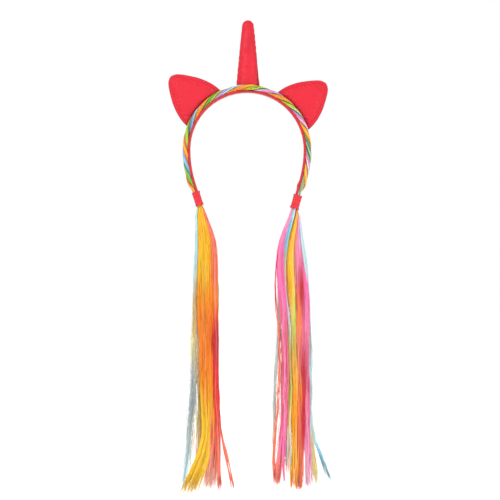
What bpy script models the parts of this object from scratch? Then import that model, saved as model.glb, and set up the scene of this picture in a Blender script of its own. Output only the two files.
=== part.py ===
# Unicorn horn headband: a bow wound in satin ribbon that carries a stuffed horn, two padded ears
# and a twist of dyed hair, with a tail of loose hair bound on at each end.
# Metres, +Z up, +X to the right of the front view, the front towards -Y.
# The origin is the inside of the bow at its crown, where the head carries it.

import math

import bmesh
import bpy
from mathutils import Matrix, Vector

CLEARANCE = 0.0003            # gap between two pieces that touch

CROWN_RADIUS = 0.0595         # inner face of the bow over the crown, a half circle
LEG_RADIUS = 0.118            # inner face where each leg turns in below the ears
LEFT_SWEEP = 18.0             # degrees it turns in, on the left of the front view
RIGHT_SWEEP = 16.5
LEFT_STRAIGHT = 0.018         # straight stretch from there to the band's end
RIGHT_STRAIGHT = 0.0225
BAND_THICKNESS = 0.0026
BAND_WIDTH = 0.010            # front to back
BAND_ROUND = 0.0008           # rounding of the band's long edges

STRAND_RADIUS = 0.00112       # one of the three strands of the hair twist
TWIST_PITCH = 0.0426          # one whole turn of a strand, along the bow's inner face
TWIST_START = -0.0084         # where the first strand crosses the front
TWIST_END_SHARE = 0.55        # how far the twist is squeezed under the end wraps
TWIST_SQUEEZE = 0.010         # length over which it narrows
TWIST_IN_WRAP = 0.004
TWIST_PROUD = 0.0008          # how far it stands out in front of the band

WRAP_LENGTH = 0.015           # ribbon wound round each end
WRAP_WALL = 0.0008
WRAP_CORNER = 0.0024          # rounding of its outside
BAND_IN_WRAP = 0.010

HORN_HEIGHT = 0.0737          # above its seat on the crown
HORN_HALF_WIDTH = 0.01295
HORN_HALF_DEPTH = 0.0066
HORN_OFFSET = 0.0010          # to the right of the crown's middle
HORN_SETBACK = 0.0030         # behind the bow's middle plane

LEFT_EAR_HEIGHT = 0.0541      # from the base corners to the tip
RIGHT_EAR_HEIGHT = 0.0513
LEFT_EAR_HALF_WIDTH = 0.0259
RIGHT_EAR_HALF_WIDTH = 0.0256
EAR_PADDING = 0.0056          # thickness of a stuffed ear
EAR_RIM_THICKNESS = 0.0018    # its flat stitched edge
EAR_RIM_WIDTH = 0.0028

TAIL_LENGTH = 0.2975          # from the wrap's lower edge to the longest tip
LEFT_TAIL_HALF_WIDTH = 0.0142
RIGHT_TAIL_HALF_WIDTH = 0.0182
LEFT_TAIL_DRIFT = 0.0062      # how far it swings towards the middle below the wrap
RIGHT_TAIL_DRIFT = 0.0026
TAIL_FLATNESS = 0.62          # a lock's depth as a share of its width
TAIL_LAYER = 0.0022           # how far the front and the back locks lie from the middle
TAIL_GATHER = 0.28            # share of the length over which the hair spreads out
TAIL_SPLIT = 0.62             # share of the length where the tips begin to part
HEAD_OVERLAP = 0.0035         # how far a lock's root is sunk into the tail's head
ROOT_SPREAD = 0.55            # spread of the roots, as a share of the wrap's hollow
ROOT_GIRTH = 0.42             # a lock's girth at its root, as a share of its full girth
TIP_START = 0.86              # share of the length where a lock begins to thin
TIP_GIRTH = 0.50              # its girth at the tip

# Horn: each row is a section, as shares of its height, half width and half depth.
HORN_SECTIONS = (
    # height, width, depth
    (-0.030, 1.020, 0.98),
    (0.080, 0.960, 1.03),
    (0.200, 0.893, 1.03),
    (0.320, 0.832, 1.00),
    (0.440, 0.762, 0.97),
    (0.560, 0.692, 0.93),
    (0.680, 0.632, 0.88),
    (0.780, 0.574, 0.83),
    (0.860, 0.520, 0.78),
    (0.915, 0.462, 0.70),
    (0.955, 0.385, 0.60),
    (0.982, 0.260, 0.42),
    (0.997, 0.110, 0.18),
)

# Ears: half of the outline, from the base corner up to the tip.
EAR_OUTLINE = (
    # height, width
    (0.00, 0.970),
    (0.15, 0.995),
    (0.30, 0.960),
    (0.45, 0.870),
    (0.60, 0.735),
    (0.75, 0.550),
    (0.87, 0.380),
    (0.94, 0.255),
    (0.98, 0.130),
)
# How the padding swells inside the rim: size of the outline that is left, rise towards the middle.
EAR_SWELL = (
    # outline, rise
    (0.82, 0.50),
    (0.62, 0.86),
    (0.36, 1.00),
)
EARS = (
    # name, side, angle from the crown in degrees, height, half width
    ("ear_left", -1, 46.4, LEFT_EAR_HEIGHT, LEFT_EAR_HALF_WIDTH),
    ("ear_right", 1, 50.1, RIGHT_EAR_HEIGHT, RIGHT_EAR_HALF_WIDTH),
)

TWIST_STRANDS = (
    # name, place in the turn
    ("twist_strand_orange", 0 / 3),
    ("twist_strand_green", 1 / 3),
    ("twist_strand_pink", 2 / 3),
)

# Locks of each tail. Places are shares of the tail's half width, left to right in the front view,
# the layer is -1 in front and 1 behind, the length is a share of the tail's.
LEFT_LOCKS = (
    # place, tip place, layer, length, girth
    (-0.76, -1.62, 0.4, 0.980, 0.22),
    (-0.46, -1.05, -0.9, 0.996, 0.26),
    (-0.14, -0.55, 0.8, 1.000, 0.27),
    (0.12, -0.02, -0.9, 0.985, 0.27),
    (0.42, 0.46, 0.8, 0.994, 0.27),
    (0.74, 1.00, -0.6, 0.990, 0.23),
    (0.70, 1.80, 0.7, 0.996, 0.20),
)
RIGHT_LOCKS = (
    # place, tip place, layer, length, girth
    (-0.80, -1.08, 0.3, 0.985, 0.20),
    (-0.52, -0.56, -0.9, 0.990, 0.25),
    (-0.22, -0.24, 0.9, 0.940, 0.24),
    (0.06, 0.12, -0.9, 1.000, 0.25),
    (0.34, 0.46, 0.8, 0.998, 0.25),
    (0.60, 0.86, -0.7, 0.996, 0.24),
    (0.82, 1.32, 0.2, 0.986, 0.17),
    (0.76, 2.04, 0.9, 0.955, 0.15),
)
TAILS = (
    # name, side, locks, half width, drift
    ("hair_tail_left", -1, LEFT_LOCKS, LEFT_TAIL_HALF_WIDTH, LEFT_TAIL_DRIFT),
    ("hair_tail_right", 1, RIGHT_LOCKS, RIGHT_TAIL_HALF_WIDTH, RIGHT_TAIL_DRIFT),
)

CROWN_ARC = CROWN_RADIUS * math.pi / 2
LEG_SWEEP = {-1: math.radians(LEFT_SWEEP), 1: math.radians(RIGHT_SWEEP)}
LEG_STRAIGHT = {-1: LEFT_STRAIGHT, 1: RIGHT_STRAIGHT}
TWIST_RADIUS = (2 * STRAND_RADIUS + CLEARANCE) / math.sqrt(3)   # strand centres round the twist
TWIST_HALF = TWIST_RADIUS + STRAND_RADIUS
SEAT_RADIUS = CROWN_RADIUS + BAND_THICKNESS + CLEARANCE


def band_end(side):
    return CROWN_ARC + LEG_RADIUS * LEG_SWEEP[side] + LEG_STRAIGHT[side]


def wrap_top(side):
    return band_end(side) - BAND_IN_WRAP


def bow_frame(station):
    # Point on the bow's inner face and its outward direction, at a length from the crown.
    side = -1 if station < 0 else 1
    length = abs(station)
    if length <= CROWN_ARC:
        turn = length / CROWN_RADIUS
        x, z = CROWN_RADIUS * math.sin(turn), CROWN_RADIUS * (math.cos(turn) - 1)
    else:
        bend = min((length - CROWN_ARC) / LEG_RADIUS, LEG_SWEEP[side])
        straight = length - CROWN_ARC - LEG_RADIUS * bend
        turn = math.pi / 2 + bend
        x = CROWN_RADIUS - LEG_RADIUS * (1 - math.cos(bend)) - straight * math.sin(bend)
        z = -CROWN_RADIUS - LEG_RADIUS * math.sin(bend) - straight * math.cos(bend)
    return Vector((side * x, 0, z)), Vector((side * math.sin(turn), 0, math.cos(turn)))


def bow_point(station, outward):
    point, normal = bow_frame(station)
    return point + normal * outward


def ease(share):
    share = min(max(share, 0.0), 1.0)
    return share * share * (3 - 2 * share)


def ease_out(share, power):
    share = min(max(share, 0.0), 1.0)
    return 1 - (1 - share) ** power


def rounded(points, steps):
    # Smooth line through the points: a Catmull-Rom spline with a few steps in each span.
    line = []
    for i in range(len(points) - 1):
        before = points[max(i - 1, 0)]
        start, end = points[i], points[i + 1]
        after = points[min(i + 2, len(points) - 1)]
        for step in range(steps):
            t = step / steps
            line.append(0.5 * (2 * start + (end - before) * t
                               + (2 * before - 5 * start + 4 * end - after) * t ** 2
                               + (3 * start - before - 3 * end + after) * t ** 3))
    line.append(points[-1].copy())
    return line


def clear_scene():
    for old in list(bpy.data.objects):
        bpy.data.objects.remove(old, do_unlink=True)


def new_collection(name):
    collection = bpy.data.collections.new(name)
    bpy.context.scene.collection.children.link(collection)
    return collection


def principled(name, colour, roughness):
    material = bpy.data.materials.new(name)
    material.use_nodes = True
    shader = material.node_tree.nodes["Principled BSDF"]
    shader.inputs["Base Color"].default_value = (*colour, 1)
    shader.inputs["Roughness"].default_value = roughness
    shader.inputs["Metallic"].default_value = 0
    return material


def add_object(name, data, collection, material=None):
    obj = bpy.data.objects.new(name, data)
    collection.objects.link(obj)
    if material:
        data.materials.append(material)
    return obj


def flat_plate(name, loops, thickness, rounding, collection, material):
    # Closed outlines in local XY, filled and given a thickness, with rounded edges.
    curve = bpy.data.curves.new(name, "CURVE")
    curve.dimensions = "2D"
    curve.fill_mode = "BOTH"
    curve.extrude = thickness / 2 - rounding
    curve.bevel_depth = rounding
    curve.bevel_resolution = 1
    curve.offset = -rounding
    for points in loops:
        spline = curve.splines.new("POLY")
        spline.points.add(len(points) - 1)
        for target, (x, y) in zip(spline.points, points):
            target.co = (x, y, 0, 1)
        spline.use_cyclic_u = True
    return add_object(name, curve, collection, material)


def tube(name, points, radii, girth, collection, material, resolution):
    # A round bar along the points; the radii are shares of the girth.
    curve = bpy.data.curves.new(name, "CURVE")
    curve.dimensions = "3D"
    curve.bevel_depth = girth
    curve.bevel_resolution = resolution
    curve.use_fill_caps = True
    spline = curve.splines.new("POLY")
    spline.points.add(len(points) - 1)
    for target, point, radius in zip(spline.points, points, radii):
        target.co = (*point, 1)
        target.radius = radius
    return add_object(name, curve, collection, material)


def loft(name, rings, collection, material):
    # Skin over rings of equal count, each seen clockwise from the next, with flat end caps.
    count = len(rings[0])
    verts = [point for ring in rings for point in ring]
    faces = [tuple(range(count)), tuple(reversed(range(len(verts) - count, len(verts))))]
    for row in range(len(rings) - 1):
        low, high = row * count, (row + 1) * count
        for i in range(count):
            j = (i + 1) % count
            faces.append((low + j, low + i, high + i, high + j))
    mesh = bpy.data.meshes.new(name)
    mesh.from_pydata(verts, [], faces)
    mesh.shade_smooth()
    return add_object(name, mesh, collection, material)


def make_guide(obj):
    obj.hide_render = True
    obj.display_type = "WIRE"
    return obj


def make_band(collection, material):
    left, right = -band_end(-1), band_end(1)
    steps = 60
    stations = [left + (right - left) * i / steps for i in range(steps + 1)]
    outer = [bow_point(s, BAND_THICKNESS) for s in stations]
    inner = [bow_point(s, 0) for s in reversed(stations)]
    outline = [(point.x, point.z) for point in outer + inner]
    band = flat_plate("band", [outline], BAND_WIDTH, BAND_ROUND, collection, material)
    band.rotation_euler = (math.pi / 2, 0, 0)
    return band


def horn_front():
    # The horn's foremost point, which the twist passes in front of.
    fullest = max(depth for height, width, depth in HORN_SECTIONS)
    return HORN_SETBACK - HORN_HALF_DEPTH * fullest


def twist_centre(station):
    # Place of the twist's middle on the bow, outward and frontward, and its squeeze.
    end = wrap_top(-1 if station < 0 else 1)
    squeeze = 1 - (1 - TWIST_END_SHARE) * ease((abs(station) - end + TWIST_SQUEEZE) / TWIST_SQUEEZE)
    resting = -(BAND_WIDTH / 2 + TWIST_PROUD - TWIST_HALF)
    pushed = horn_front() - CLEARANCE - TWIST_HALF
    reach = 1.6 * HORN_HALF_WIDTH
    share = min(abs(station - HORN_OFFSET) / reach, 1.0)
    front = resting + min(0.0, pushed - resting) * math.cos(share * math.pi / 2) ** 2
    outward = BAND_THICKNESS + CLEARANCE + TWIST_HALF * squeeze
    return outward, front, squeeze


def make_twist(collection, materials):
    left = -(wrap_top(-1) + TWIST_IN_WRAP)
    right = wrap_top(1) + TWIST_IN_WRAP
    points_per_turn = 14
    steps = math.ceil((right - left) / TWIST_PITCH * points_per_turn)
    for name, place in TWIST_STRANDS:
        points, radii = [], []
        for i in range(steps + 1):
            station = left + (right - left) * i / steps
            outward, front, squeeze = twist_centre(station)
            turn = math.pi / 2 - 2 * math.pi * ((station - TWIST_START) / TWIST_PITCH - place)
            point = bow_point(station, outward + TWIST_RADIUS * squeeze * math.cos(turn))
            point.y = front - TWIST_RADIUS * squeeze * math.sin(turn)
            points.append(point)
            radii.append(squeeze)
        tube(name, points, radii, STRAND_RADIUS, collection, materials[name], 1)


def wrap_hollow():
    # Hollow of an end wrap: from the bow's inner face outwards, and half its depth.
    inner = -CLEARANCE
    outer = BAND_THICKNESS + 2 * CLEARANCE + 2 * TWIST_HALF * TWIST_END_SHARE
    return inner, outer, BAND_WIDTH / 2 + CLEARANCE


def rounded_box(low, high, half_depth, corner):
    # Outline of a box with round corners, across the leg by front to back.
    centres = (
        (high - corner, half_depth - corner, 0),
        (low + corner, half_depth - corner, 90),
        (low + corner, corner - half_depth, 180),
        (high - corner, corner - half_depth, 270),
    )
    outline = []
    for across, depth, start in centres:
        for step in range(4):
            angle = math.radians(start + 30 * step)
            outline.append((across + corner * math.cos(angle), depth + corner * math.sin(angle)))
    return outline


def leg_matrix(side, station):
    # Frame on a leg: local X outward, local Z down along the leg, local Y front to back.
    point, outward = bow_frame(side * station)
    along = Vector((-side * math.sin(LEG_SWEEP[side]), 0, -math.cos(LEG_SWEEP[side])))
    depth = along.cross(outward)
    return Matrix((
        (outward.x, depth.x, along.x, point.x),
        (outward.y, depth.y, along.y, point.y),
        (outward.z, depth.z, along.z, point.z),
        (0, 0, 0, 1),
    ))


def make_wrap(name, side, collection, material):
    low, high, half_depth = wrap_hollow()
    outside = rounded_box(low - WRAP_WALL, high + WRAP_WALL, half_depth + WRAP_WALL, WRAP_CORNER)
    inside = rounded_box(low, high, half_depth, WRAP_CORNER - WRAP_WALL)
    rounding = WRAP_WALL / 4
    wrap = flat_plate(name, [outside, inside], WRAP_LENGTH, rounding, collection, material)
    wrap.matrix_world = leg_matrix(side, wrap_top(side) + WRAP_LENGTH / 2)
    return wrap


def make_horn(collection, guides, material):
    segments = 28
    rings = []
    for height, width, depth in HORN_SECTIONS:
        ring = []
        for i in range(segments):
            angle = -2 * math.pi * i / segments
            ring.append((
                HORN_OFFSET + HORN_HALF_WIDTH * width * math.cos(angle),
                HORN_SETBACK + HORN_HALF_DEPTH * depth * math.sin(angle),
                BAND_THICKNESS + CLEARANCE + HORN_HEIGHT * height,
            ))
        rings.append(ring)
    horn = loft("horn", rings, collection, material)

    bpy.ops.mesh.primitive_cylinder_add(
        vertices=192, radius=SEAT_RADIUS, depth=8 * HORN_HALF_DEPTH,
        location=(0, 0, -CROWN_RADIUS), rotation=(math.pi / 2, 0, 0))
    seat = bpy.context.object
    seat.name = "horn_seat_cutter"
    for holder in list(seat.users_collection):
        holder.objects.unlink(seat)
    guides.objects.link(make_guide(seat))
    cut = horn.modifiers.new("seat on the band", "BOOLEAN")
    cut.operation = "DIFFERENCE"
    cut.object = seat
    return horn


def ear_outline(height, half_width):
    # Closed outline in the ear's own plane: x across, y up from the bow's centre.
    corner = EAR_OUTLINE[0][1] * half_width
    base = math.sqrt(SEAT_RADIUS ** 2 - corner ** 2)
    side_points = [Vector((half_width * width, base + height * up)) for up, width in EAR_OUTLINE]
    side_line = rounded(side_points + [Vector((0, base + height))], 2)
    left_line = [Vector((-point.x, point.y)) for point in reversed(side_line[:-1])]
    spread = math.asin(corner / SEAT_RADIUS)
    arc_steps = 10
    arc = []
    for i in range(1, arc_steps):
        angle = -spread + 2 * spread * i / arc_steps
        arc.append(Vector((math.sin(angle), math.cos(angle))) * SEAT_RADIUS)
    return side_line + left_line + arc


def make_ear(name, side, angle, height, half_width, collection, material):
    outline = ear_outline(height, half_width)
    middle = Vector((0, SEAT_RADIUS + height * 0.36))
    rim_left = 1 - EAR_RIM_WIDTH / half_width
    swell = (EAR_PADDING - EAR_RIM_THICKNESS) / 2
    layers = [(1.0, EAR_RIM_THICKNESS / 2), (rim_left, EAR_RIM_THICKNESS / 2)]
    layers += [(rim_left * size, EAR_RIM_THICKNESS / 2 + swell * rise) for size, rise in EAR_SWELL]
    plane = CLEARANCE + EAR_PADDING / 2 - (BAND_WIDTH / 2 + TWIST_PROUD - 2 * TWIST_HALF)
    lean = math.radians(angle) * side
    up = Vector((math.sin(lean), 0, math.cos(lean)))
    across = Vector((math.cos(lean), 0, -math.sin(lean)))

    rings = []
    for direction, ordered in ((-1, reversed(layers)), (1, layers)):
        for size, depth in ordered:
            ring = []
            for point in outline:
                place = middle + (point - middle) * size
                spot = across * place.x + up * place.y
                ring.append((spot.x, plane + direction * depth, spot.z - CROWN_RADIUS))
            rings.append(ring)
    return loft(name, rings, collection, material)


def solid_from_curve(curve_object, flatness, collection):
    # The curve as one welded mesh in place, flattened front to back, ready for a Boolean.
    depsgraph = bpy.context.evaluated_depsgraph_get()
    mesh = bpy.data.meshes.new_from_object(curve_object.evaluated_get(depsgraph))
    mesh.transform(Matrix.Diagonal((1, flatness, 1, 1)) @ curve_object.matrix_world)
    work = bmesh.new()
    work.from_mesh(mesh)
    bmesh.ops.remove_doubles(work, verts=work.verts, dist=0.00001)
    work.to_mesh(mesh)
    work.free()
    name = curve_object.name
    bpy.data.objects.remove(curve_object, do_unlink=True)
    mesh.name = name
    return add_object(name, mesh, collection)


def lock_line(side, lock, half_width, drift):
    # Centre line and thickness of one lock, from its root in the head down to its tip.
    place, tip_place, layer, length, girth = lock
    low, high, half_depth = wrap_hollow()
    exit_frame = leg_matrix(side, wrap_top(side) + WRAP_LENGTH)
    middle = (low + high) / 2
    gathered = ROOT_SPREAD * (high - low) / 2 / half_width
    layer_at_root = 0.5

    root = Vector((middle + side * place * half_width * gathered, 0, -HEAD_OVERLAP))
    points = [exit_frame @ root]
    radii = [ROOT_GIRTH * girth]
    exit_point = exit_frame @ Vector((middle, 0, 0))
    steps = 14
    for i in range(steps + 1):
        share = i / steps
        gather = share / TAIL_GATHER
        spread = gathered + (1 - gathered) * ease_out(gather, 2)
        parting = ease((share - TAIL_SPLIT) / (1 - TAIL_SPLIT))
        across = half_width * (place * spread + (tip_place - place) * parting)
        points.append(Vector((
            exit_point.x + across - side * drift * ease_out(gather, 3),
            0,
            exit_point.z - share * length * TAIL_LENGTH,
        )))
        swelling = ROOT_GIRTH + (1 - ROOT_GIRTH) * ease_out(gather, 2)
        thinning = 1 - (1 - TIP_GIRTH) * ease((share - TIP_START) / (1 - TIP_START))
        radii.append(girth * swelling * thinning)
    for i, point in enumerate(points):
        share = max(0, i - 1) / steps
        opened = layer_at_root + (1 - layer_at_root) * ease_out(share / TAIL_GATHER, 2)
        point.y = TAIL_LAYER * layer * opened / TAIL_FLATNESS
    return points, radii


def make_tail(name, side, locks, half_width, drift, collection, guides, material):
    low, high, half_depth = wrap_hollow()
    head_length = WRAP_LENGTH - BAND_IN_WRAP - CLEARANCE
    corner = WRAP_CORNER - WRAP_WALL - CLEARANCE
    outline = rounded_box(low + CLEARANCE, high - CLEARANCE, half_depth - CLEARANCE, corner)
    head = flat_plate(name, [outline], head_length, CLEARANCE, guides, None)
    head.matrix_world = leg_matrix(side, wrap_top(side) + WRAP_LENGTH - head_length / 2)
    body = solid_from_curve(head, 1, collection)
    body.data.materials.append(material)

    strands = bpy.data.collections.new(name + "_locks")
    guides.children.link(strands)
    for number, lock in enumerate(locks, 1):
        points, radii = lock_line(side, lock, half_width, drift)
        strand = tube(f"{name}_lock_{number}", points, radii, half_width, guides, None, 2)
        make_guide(solid_from_curve(strand, TAIL_FLATNESS, strands))
    fuse = body.modifiers.new("locks fused to the head", "BOOLEAN")
    fuse.operation = "UNION"
    fuse.operand_type = "COLLECTION"
    fuse.collection = strands
    return body


def main():
    clear_scene()
    parts = new_collection("unicorn_horn_headband")
    guides = new_collection("cutters")
    satin = principled("red_satin", (0.93, 0.05, 0.08), 0.42)
    ribbon = principled("red_satin_ribbon", (0.78, 0.04, 0.06), 0.36)
    strand_materials = {
        "twist_strand_orange": principled("orange_hair", (1.0, 0.30, 0.02), 0.38),
        "twist_strand_green": principled("green_hair", (0.35, 0.62, 0.05), 0.38),
        "twist_strand_pink": principled("pink_hair", (0.93, 0.33, 0.60), 0.38),
    }
    tail_materials = {
        "hair_tail_left": principled("orange_rainbow_hair", (0.98, 0.46, 0.06), 0.40),
        "hair_tail_right": principled("pink_rainbow_hair", (0.95, 0.38, 0.50), 0.40),
    }

    make_band(parts, ribbon)
    make_twist(parts, strand_materials)
    make_wrap("end_wrap_left", -1, parts, ribbon)
    make_wrap("end_wrap_right", 1, parts, ribbon)
    make_horn(parts, guides, satin)
    for name, side, angle, height, half_width in EARS:
        make_ear(name, side, angle, height, half_width, parts, satin)
    for name, side, locks, half_width, drift in TAILS:
        make_tail(name, side, locks, half_width, drift, parts, guides, tail_materials[name])


main()
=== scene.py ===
import math

import bmesh
import bpy
import numpy as np
from mathutils import Matrix, Vector, noise


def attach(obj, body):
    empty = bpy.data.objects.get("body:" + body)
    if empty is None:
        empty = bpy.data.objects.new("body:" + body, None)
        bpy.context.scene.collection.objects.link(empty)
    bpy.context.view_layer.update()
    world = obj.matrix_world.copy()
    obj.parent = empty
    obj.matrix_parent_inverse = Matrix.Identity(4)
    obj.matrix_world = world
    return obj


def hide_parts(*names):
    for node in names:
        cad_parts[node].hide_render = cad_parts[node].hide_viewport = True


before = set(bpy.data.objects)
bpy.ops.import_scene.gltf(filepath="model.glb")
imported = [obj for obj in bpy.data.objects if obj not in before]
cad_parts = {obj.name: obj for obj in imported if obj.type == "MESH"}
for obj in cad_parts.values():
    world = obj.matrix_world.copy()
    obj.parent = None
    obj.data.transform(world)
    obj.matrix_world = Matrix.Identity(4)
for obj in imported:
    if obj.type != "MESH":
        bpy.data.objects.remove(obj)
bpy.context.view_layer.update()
print("stage: frame loaded")

mm = 0.001


def linear(hexColour):
    # sRGB hex to the linear colour that Blender's sockets take
    channels = [int(hexColour[i:i + 2], 16) / 255 for i in (1, 3, 5)]
    return [c / 12.92 if c <= 0.04045 else ((c + 0.055) / 1.055) ** 2.4 for c in channels]


def smooth(share):
    share = min(max(share, 0.0), 1.0)
    return share * share * (3 - 2 * share)


def bell(distance, width):
    return np.exp(-(distance / width) ** 2)


# The bow, as the solids have it. Stations are lengths from the crown, negative on the left.
bow = {
    "crownRadius": 59.5 * mm, "legRadius": 118 * mm, "sweep": {-1: 18.0, 1: 16.5},
    "end": {-1: 148.53 * mm, 1: 149.94 * mm}, "wrapTop": {-1: 138.53 * mm, 1: 139.94 * mm},
    "thickness": 2.6 * mm, "width": 10 * mm, "gap": 0.3 * mm,
}
seatRadius = bow["crownRadius"] + bow["thickness"] + bow["gap"]


def bowFrame(station):
    # point on the inner face, outward direction and direction of growing station
    side = -1 if station < 0 else 1
    length = abs(station)
    crownArc = bow["crownRadius"] * math.pi / 2
    if length <= crownArc:
        turn = length / bow["crownRadius"]
        x = bow["crownRadius"] * math.sin(turn)
        z = bow["crownRadius"] * (math.cos(turn) - 1)
    else:
        bend = min((length - crownArc) / bow["legRadius"], math.radians(bow["sweep"][side]))
        straight = length - crownArc - bow["legRadius"] * bend
        turn = math.pi / 2 + bend
        x = (bow["crownRadius"] - bow["legRadius"] * (1 - math.cos(bend))
             - straight * math.sin(bend))
        z = (-bow["crownRadius"] - bow["legRadius"] * math.sin(bend)
             - straight * math.cos(bend))
    outward = Vector((side * math.sin(turn), 0, math.cos(turn)))
    return Vector((side * x, 0, z)), outward, Vector((outward.z, 0, -outward.x))


def bowPlace(station, out, y):
    point, outward, along = bowFrame(station)
    return point + outward * out + Vector((0, y, 0))


# Materials

def setInputs(tree, node, inputs):
    # an input is a value or another node's output
    for key, value in inputs.items():
        if isinstance(value, bpy.types.NodeSocket):
            tree.links.new(value, node.inputs[key])
        else:
            node.inputs[key].default_value = value


def addNode(tree, kind, settings=None, inputs=None):
    node = tree.nodes.new(kind)
    for key, value in (settings or {}).items():
        setattr(node, key, value)
    setInputs(tree, node, inputs or {})
    return node


def newMaterial(name):
    material = bpy.data.materials.new(name)
    material.use_nodes = True
    tree = material.node_tree
    tree.nodes.clear()
    shader = addNode(tree, "ShaderNodeBsdfPrincipled")
    output = addNode(tree, "ShaderNodeOutputMaterial")
    tree.links.new(shader.outputs["BSDF"], output.inputs["Surface"])
    return material, tree, shader


satin = {
    "thread": 0.34 * mm,       # real satin has 0.1 mm threads: drawn coarser, so that they show
    "alongBand": 6.4, "acrossBand": 9.0,  # the wave textures' bands, in threads
    "slubs": (1400, 260, 1400), "mottle": 95.0,
    # the last red is the colour of the painted shade
    "face": "#C11428", "shade": "#AF0F23", "float": "#CB192E", "paintedShadeRed": "#5E0411",
}
sheenTint = "#FF6A70"


def satinMaterial(name, lean, uvMap=None):
    # Polyester satin, woven with long floats: a soft sheen along the threads, a fine cross grain
    material, tree, shader = newMaterial(name)
    if uvMap:
        coords = addNode(tree, "ShaderNodeUVMap", {"uv_map": uvMap}).outputs["UV"]
    else:
        place = addNode(tree, "ShaderNodeTexCoord").outputs["Object"]
        coords = addNode(tree, "ShaderNodeMapping", {"vector_type": "POINT"},
                         {"Vector": place, "Rotation": (math.pi / 2, 0, lean)}).outputs["Vector"]
    objectPlace = addNode(tree, "ShaderNodeTexCoord").outputs["Object"]
    threads = addNode(tree, "ShaderNodeTexWave", {"wave_type": "BANDS", "bands_direction": "Y"},
                      {"Vector": coords,
                       "Scale": 1 / satin["thread"] / math.pi / satin["alongBand"],
                       "Distortion": 0.6, "Detail": 2.0, "Detail Scale": 40.0})
    picks = addNode(tree, "ShaderNodeTexWave", {"wave_type": "BANDS", "bands_direction": "X"},
                    {"Vector": coords,
                     "Scale": 1 / satin["thread"] / math.pi / satin["acrossBand"],
                     "Distortion": 1.2, "Detail": 2.0, "Detail Scale": 40.0})
    stretched = addNode(tree, "ShaderNodeMapping", None,
                        {"Vector": coords, "Scale": satin["slubs"]})
    slubs = addNode(tree, "ShaderNodeTexNoise", None,
                    {"Vector": stretched.outputs["Vector"], "Scale": 1.0, "Detail": 3.0})
    mottle = addNode(tree, "ShaderNodeTexNoise", None,
                     {"Vector": objectPlace, "Scale": satin["mottle"], "Detail": 4.0,
                      "Roughness": 0.6})
    face = addNode(tree, "ShaderNodeMix", {"data_type": "RGBA"},
                   {"Factor": mottle.outputs["Fac"], "A": (*linear(satin["shade"]), 1),
                    "B": (*linear(satin["float"]), 1)})
    weave = addNode(tree, "ShaderNodeMath", {"operation": "MULTIPLY"},
                    {0: threads.outputs["Fac"], 1: picks.outputs["Fac"]})
    grain = addNode(tree, "ShaderNodeMath", {"operation": "MULTIPLY_ADD"},
                    {0: weave.outputs["Value"], 1: 0.30, 2: 0.38})
    threaded = addNode(tree, "ShaderNodeMix", {"data_type": "RGBA"},
                       {"Factor": grain.outputs["Value"], "A": face.outputs["Result"],
                        "B": (*linear(satin["face"]), 1)})
    shadow = addNode(tree, "ShaderNodeMath", {"operation": "MULTIPLY"},
                     {0: slubs.outputs["Fac"], 1: 0.08})
    # painted shade: the crease attribute darkens the satin towards the dark red in seams, folds and
    # under the twist
    paintedShade = addNode(tree, "ShaderNodeVertexColor", {"layer_name": "paintedShade"})
    darker = addNode(tree, "ShaderNodeMath", {"operation": "ADD", "use_clamp": True},
                     {0: shadow.outputs["Value"], 1: paintedShade.outputs["Color"]})
    colour = addNode(tree, "ShaderNodeMix", {"data_type": "RGBA"},
                     {"Factor": darker.outputs["Value"], "A": threaded.outputs["Result"],
                      "B": (*linear(satin["paintedShadeRed"]), 1)})
    relief = addNode(tree, "ShaderNodeMath", {"operation": "MULTIPLY_ADD"},
                     {0: slubs.outputs["Fac"], 1: 0.6, 2: weave.outputs["Value"]})
    bump = addNode(tree, "ShaderNodeBump", None,
                   {"Strength": 0.2, "Distance": 0.08 * mm, "Height": relief.outputs["Value"]})
    gloss = addNode(tree, "ShaderNodeMapRange", None,
                    {"Value": slubs.outputs["Fac"], "To Min": 0.40, "To Max": 0.56})
    setInputs(tree, shader, {
        "Base Color": colour.outputs["Result"], "Roughness": gloss.outputs["Result"],
        "Normal": bump.outputs["Normal"], "IOR": 1.5, "Specular IOR Level": 0.24,
        "Sheen Weight": 0.03, "Sheen Roughness": 0.4, "Sheen Tint": (*linear(sheenTint), 1)})
    return material


ribbon = {
    # edge is the dark red of the painted shade where each turn laps the last
    "pitch": 9.0 * mm, "cord": 0.3 * mm, "cordBand": 6.4, "mottle": 160.0, "edge": "#64060F",
    # the bow's tones are the wraps' ribbon painted darker: painted shade from the twist lying over
    # it
    "tones": {"bow": ("#980C17", "#B61421"), "wrap": ("#AE1622", "#C61C2A")},
}


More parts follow.
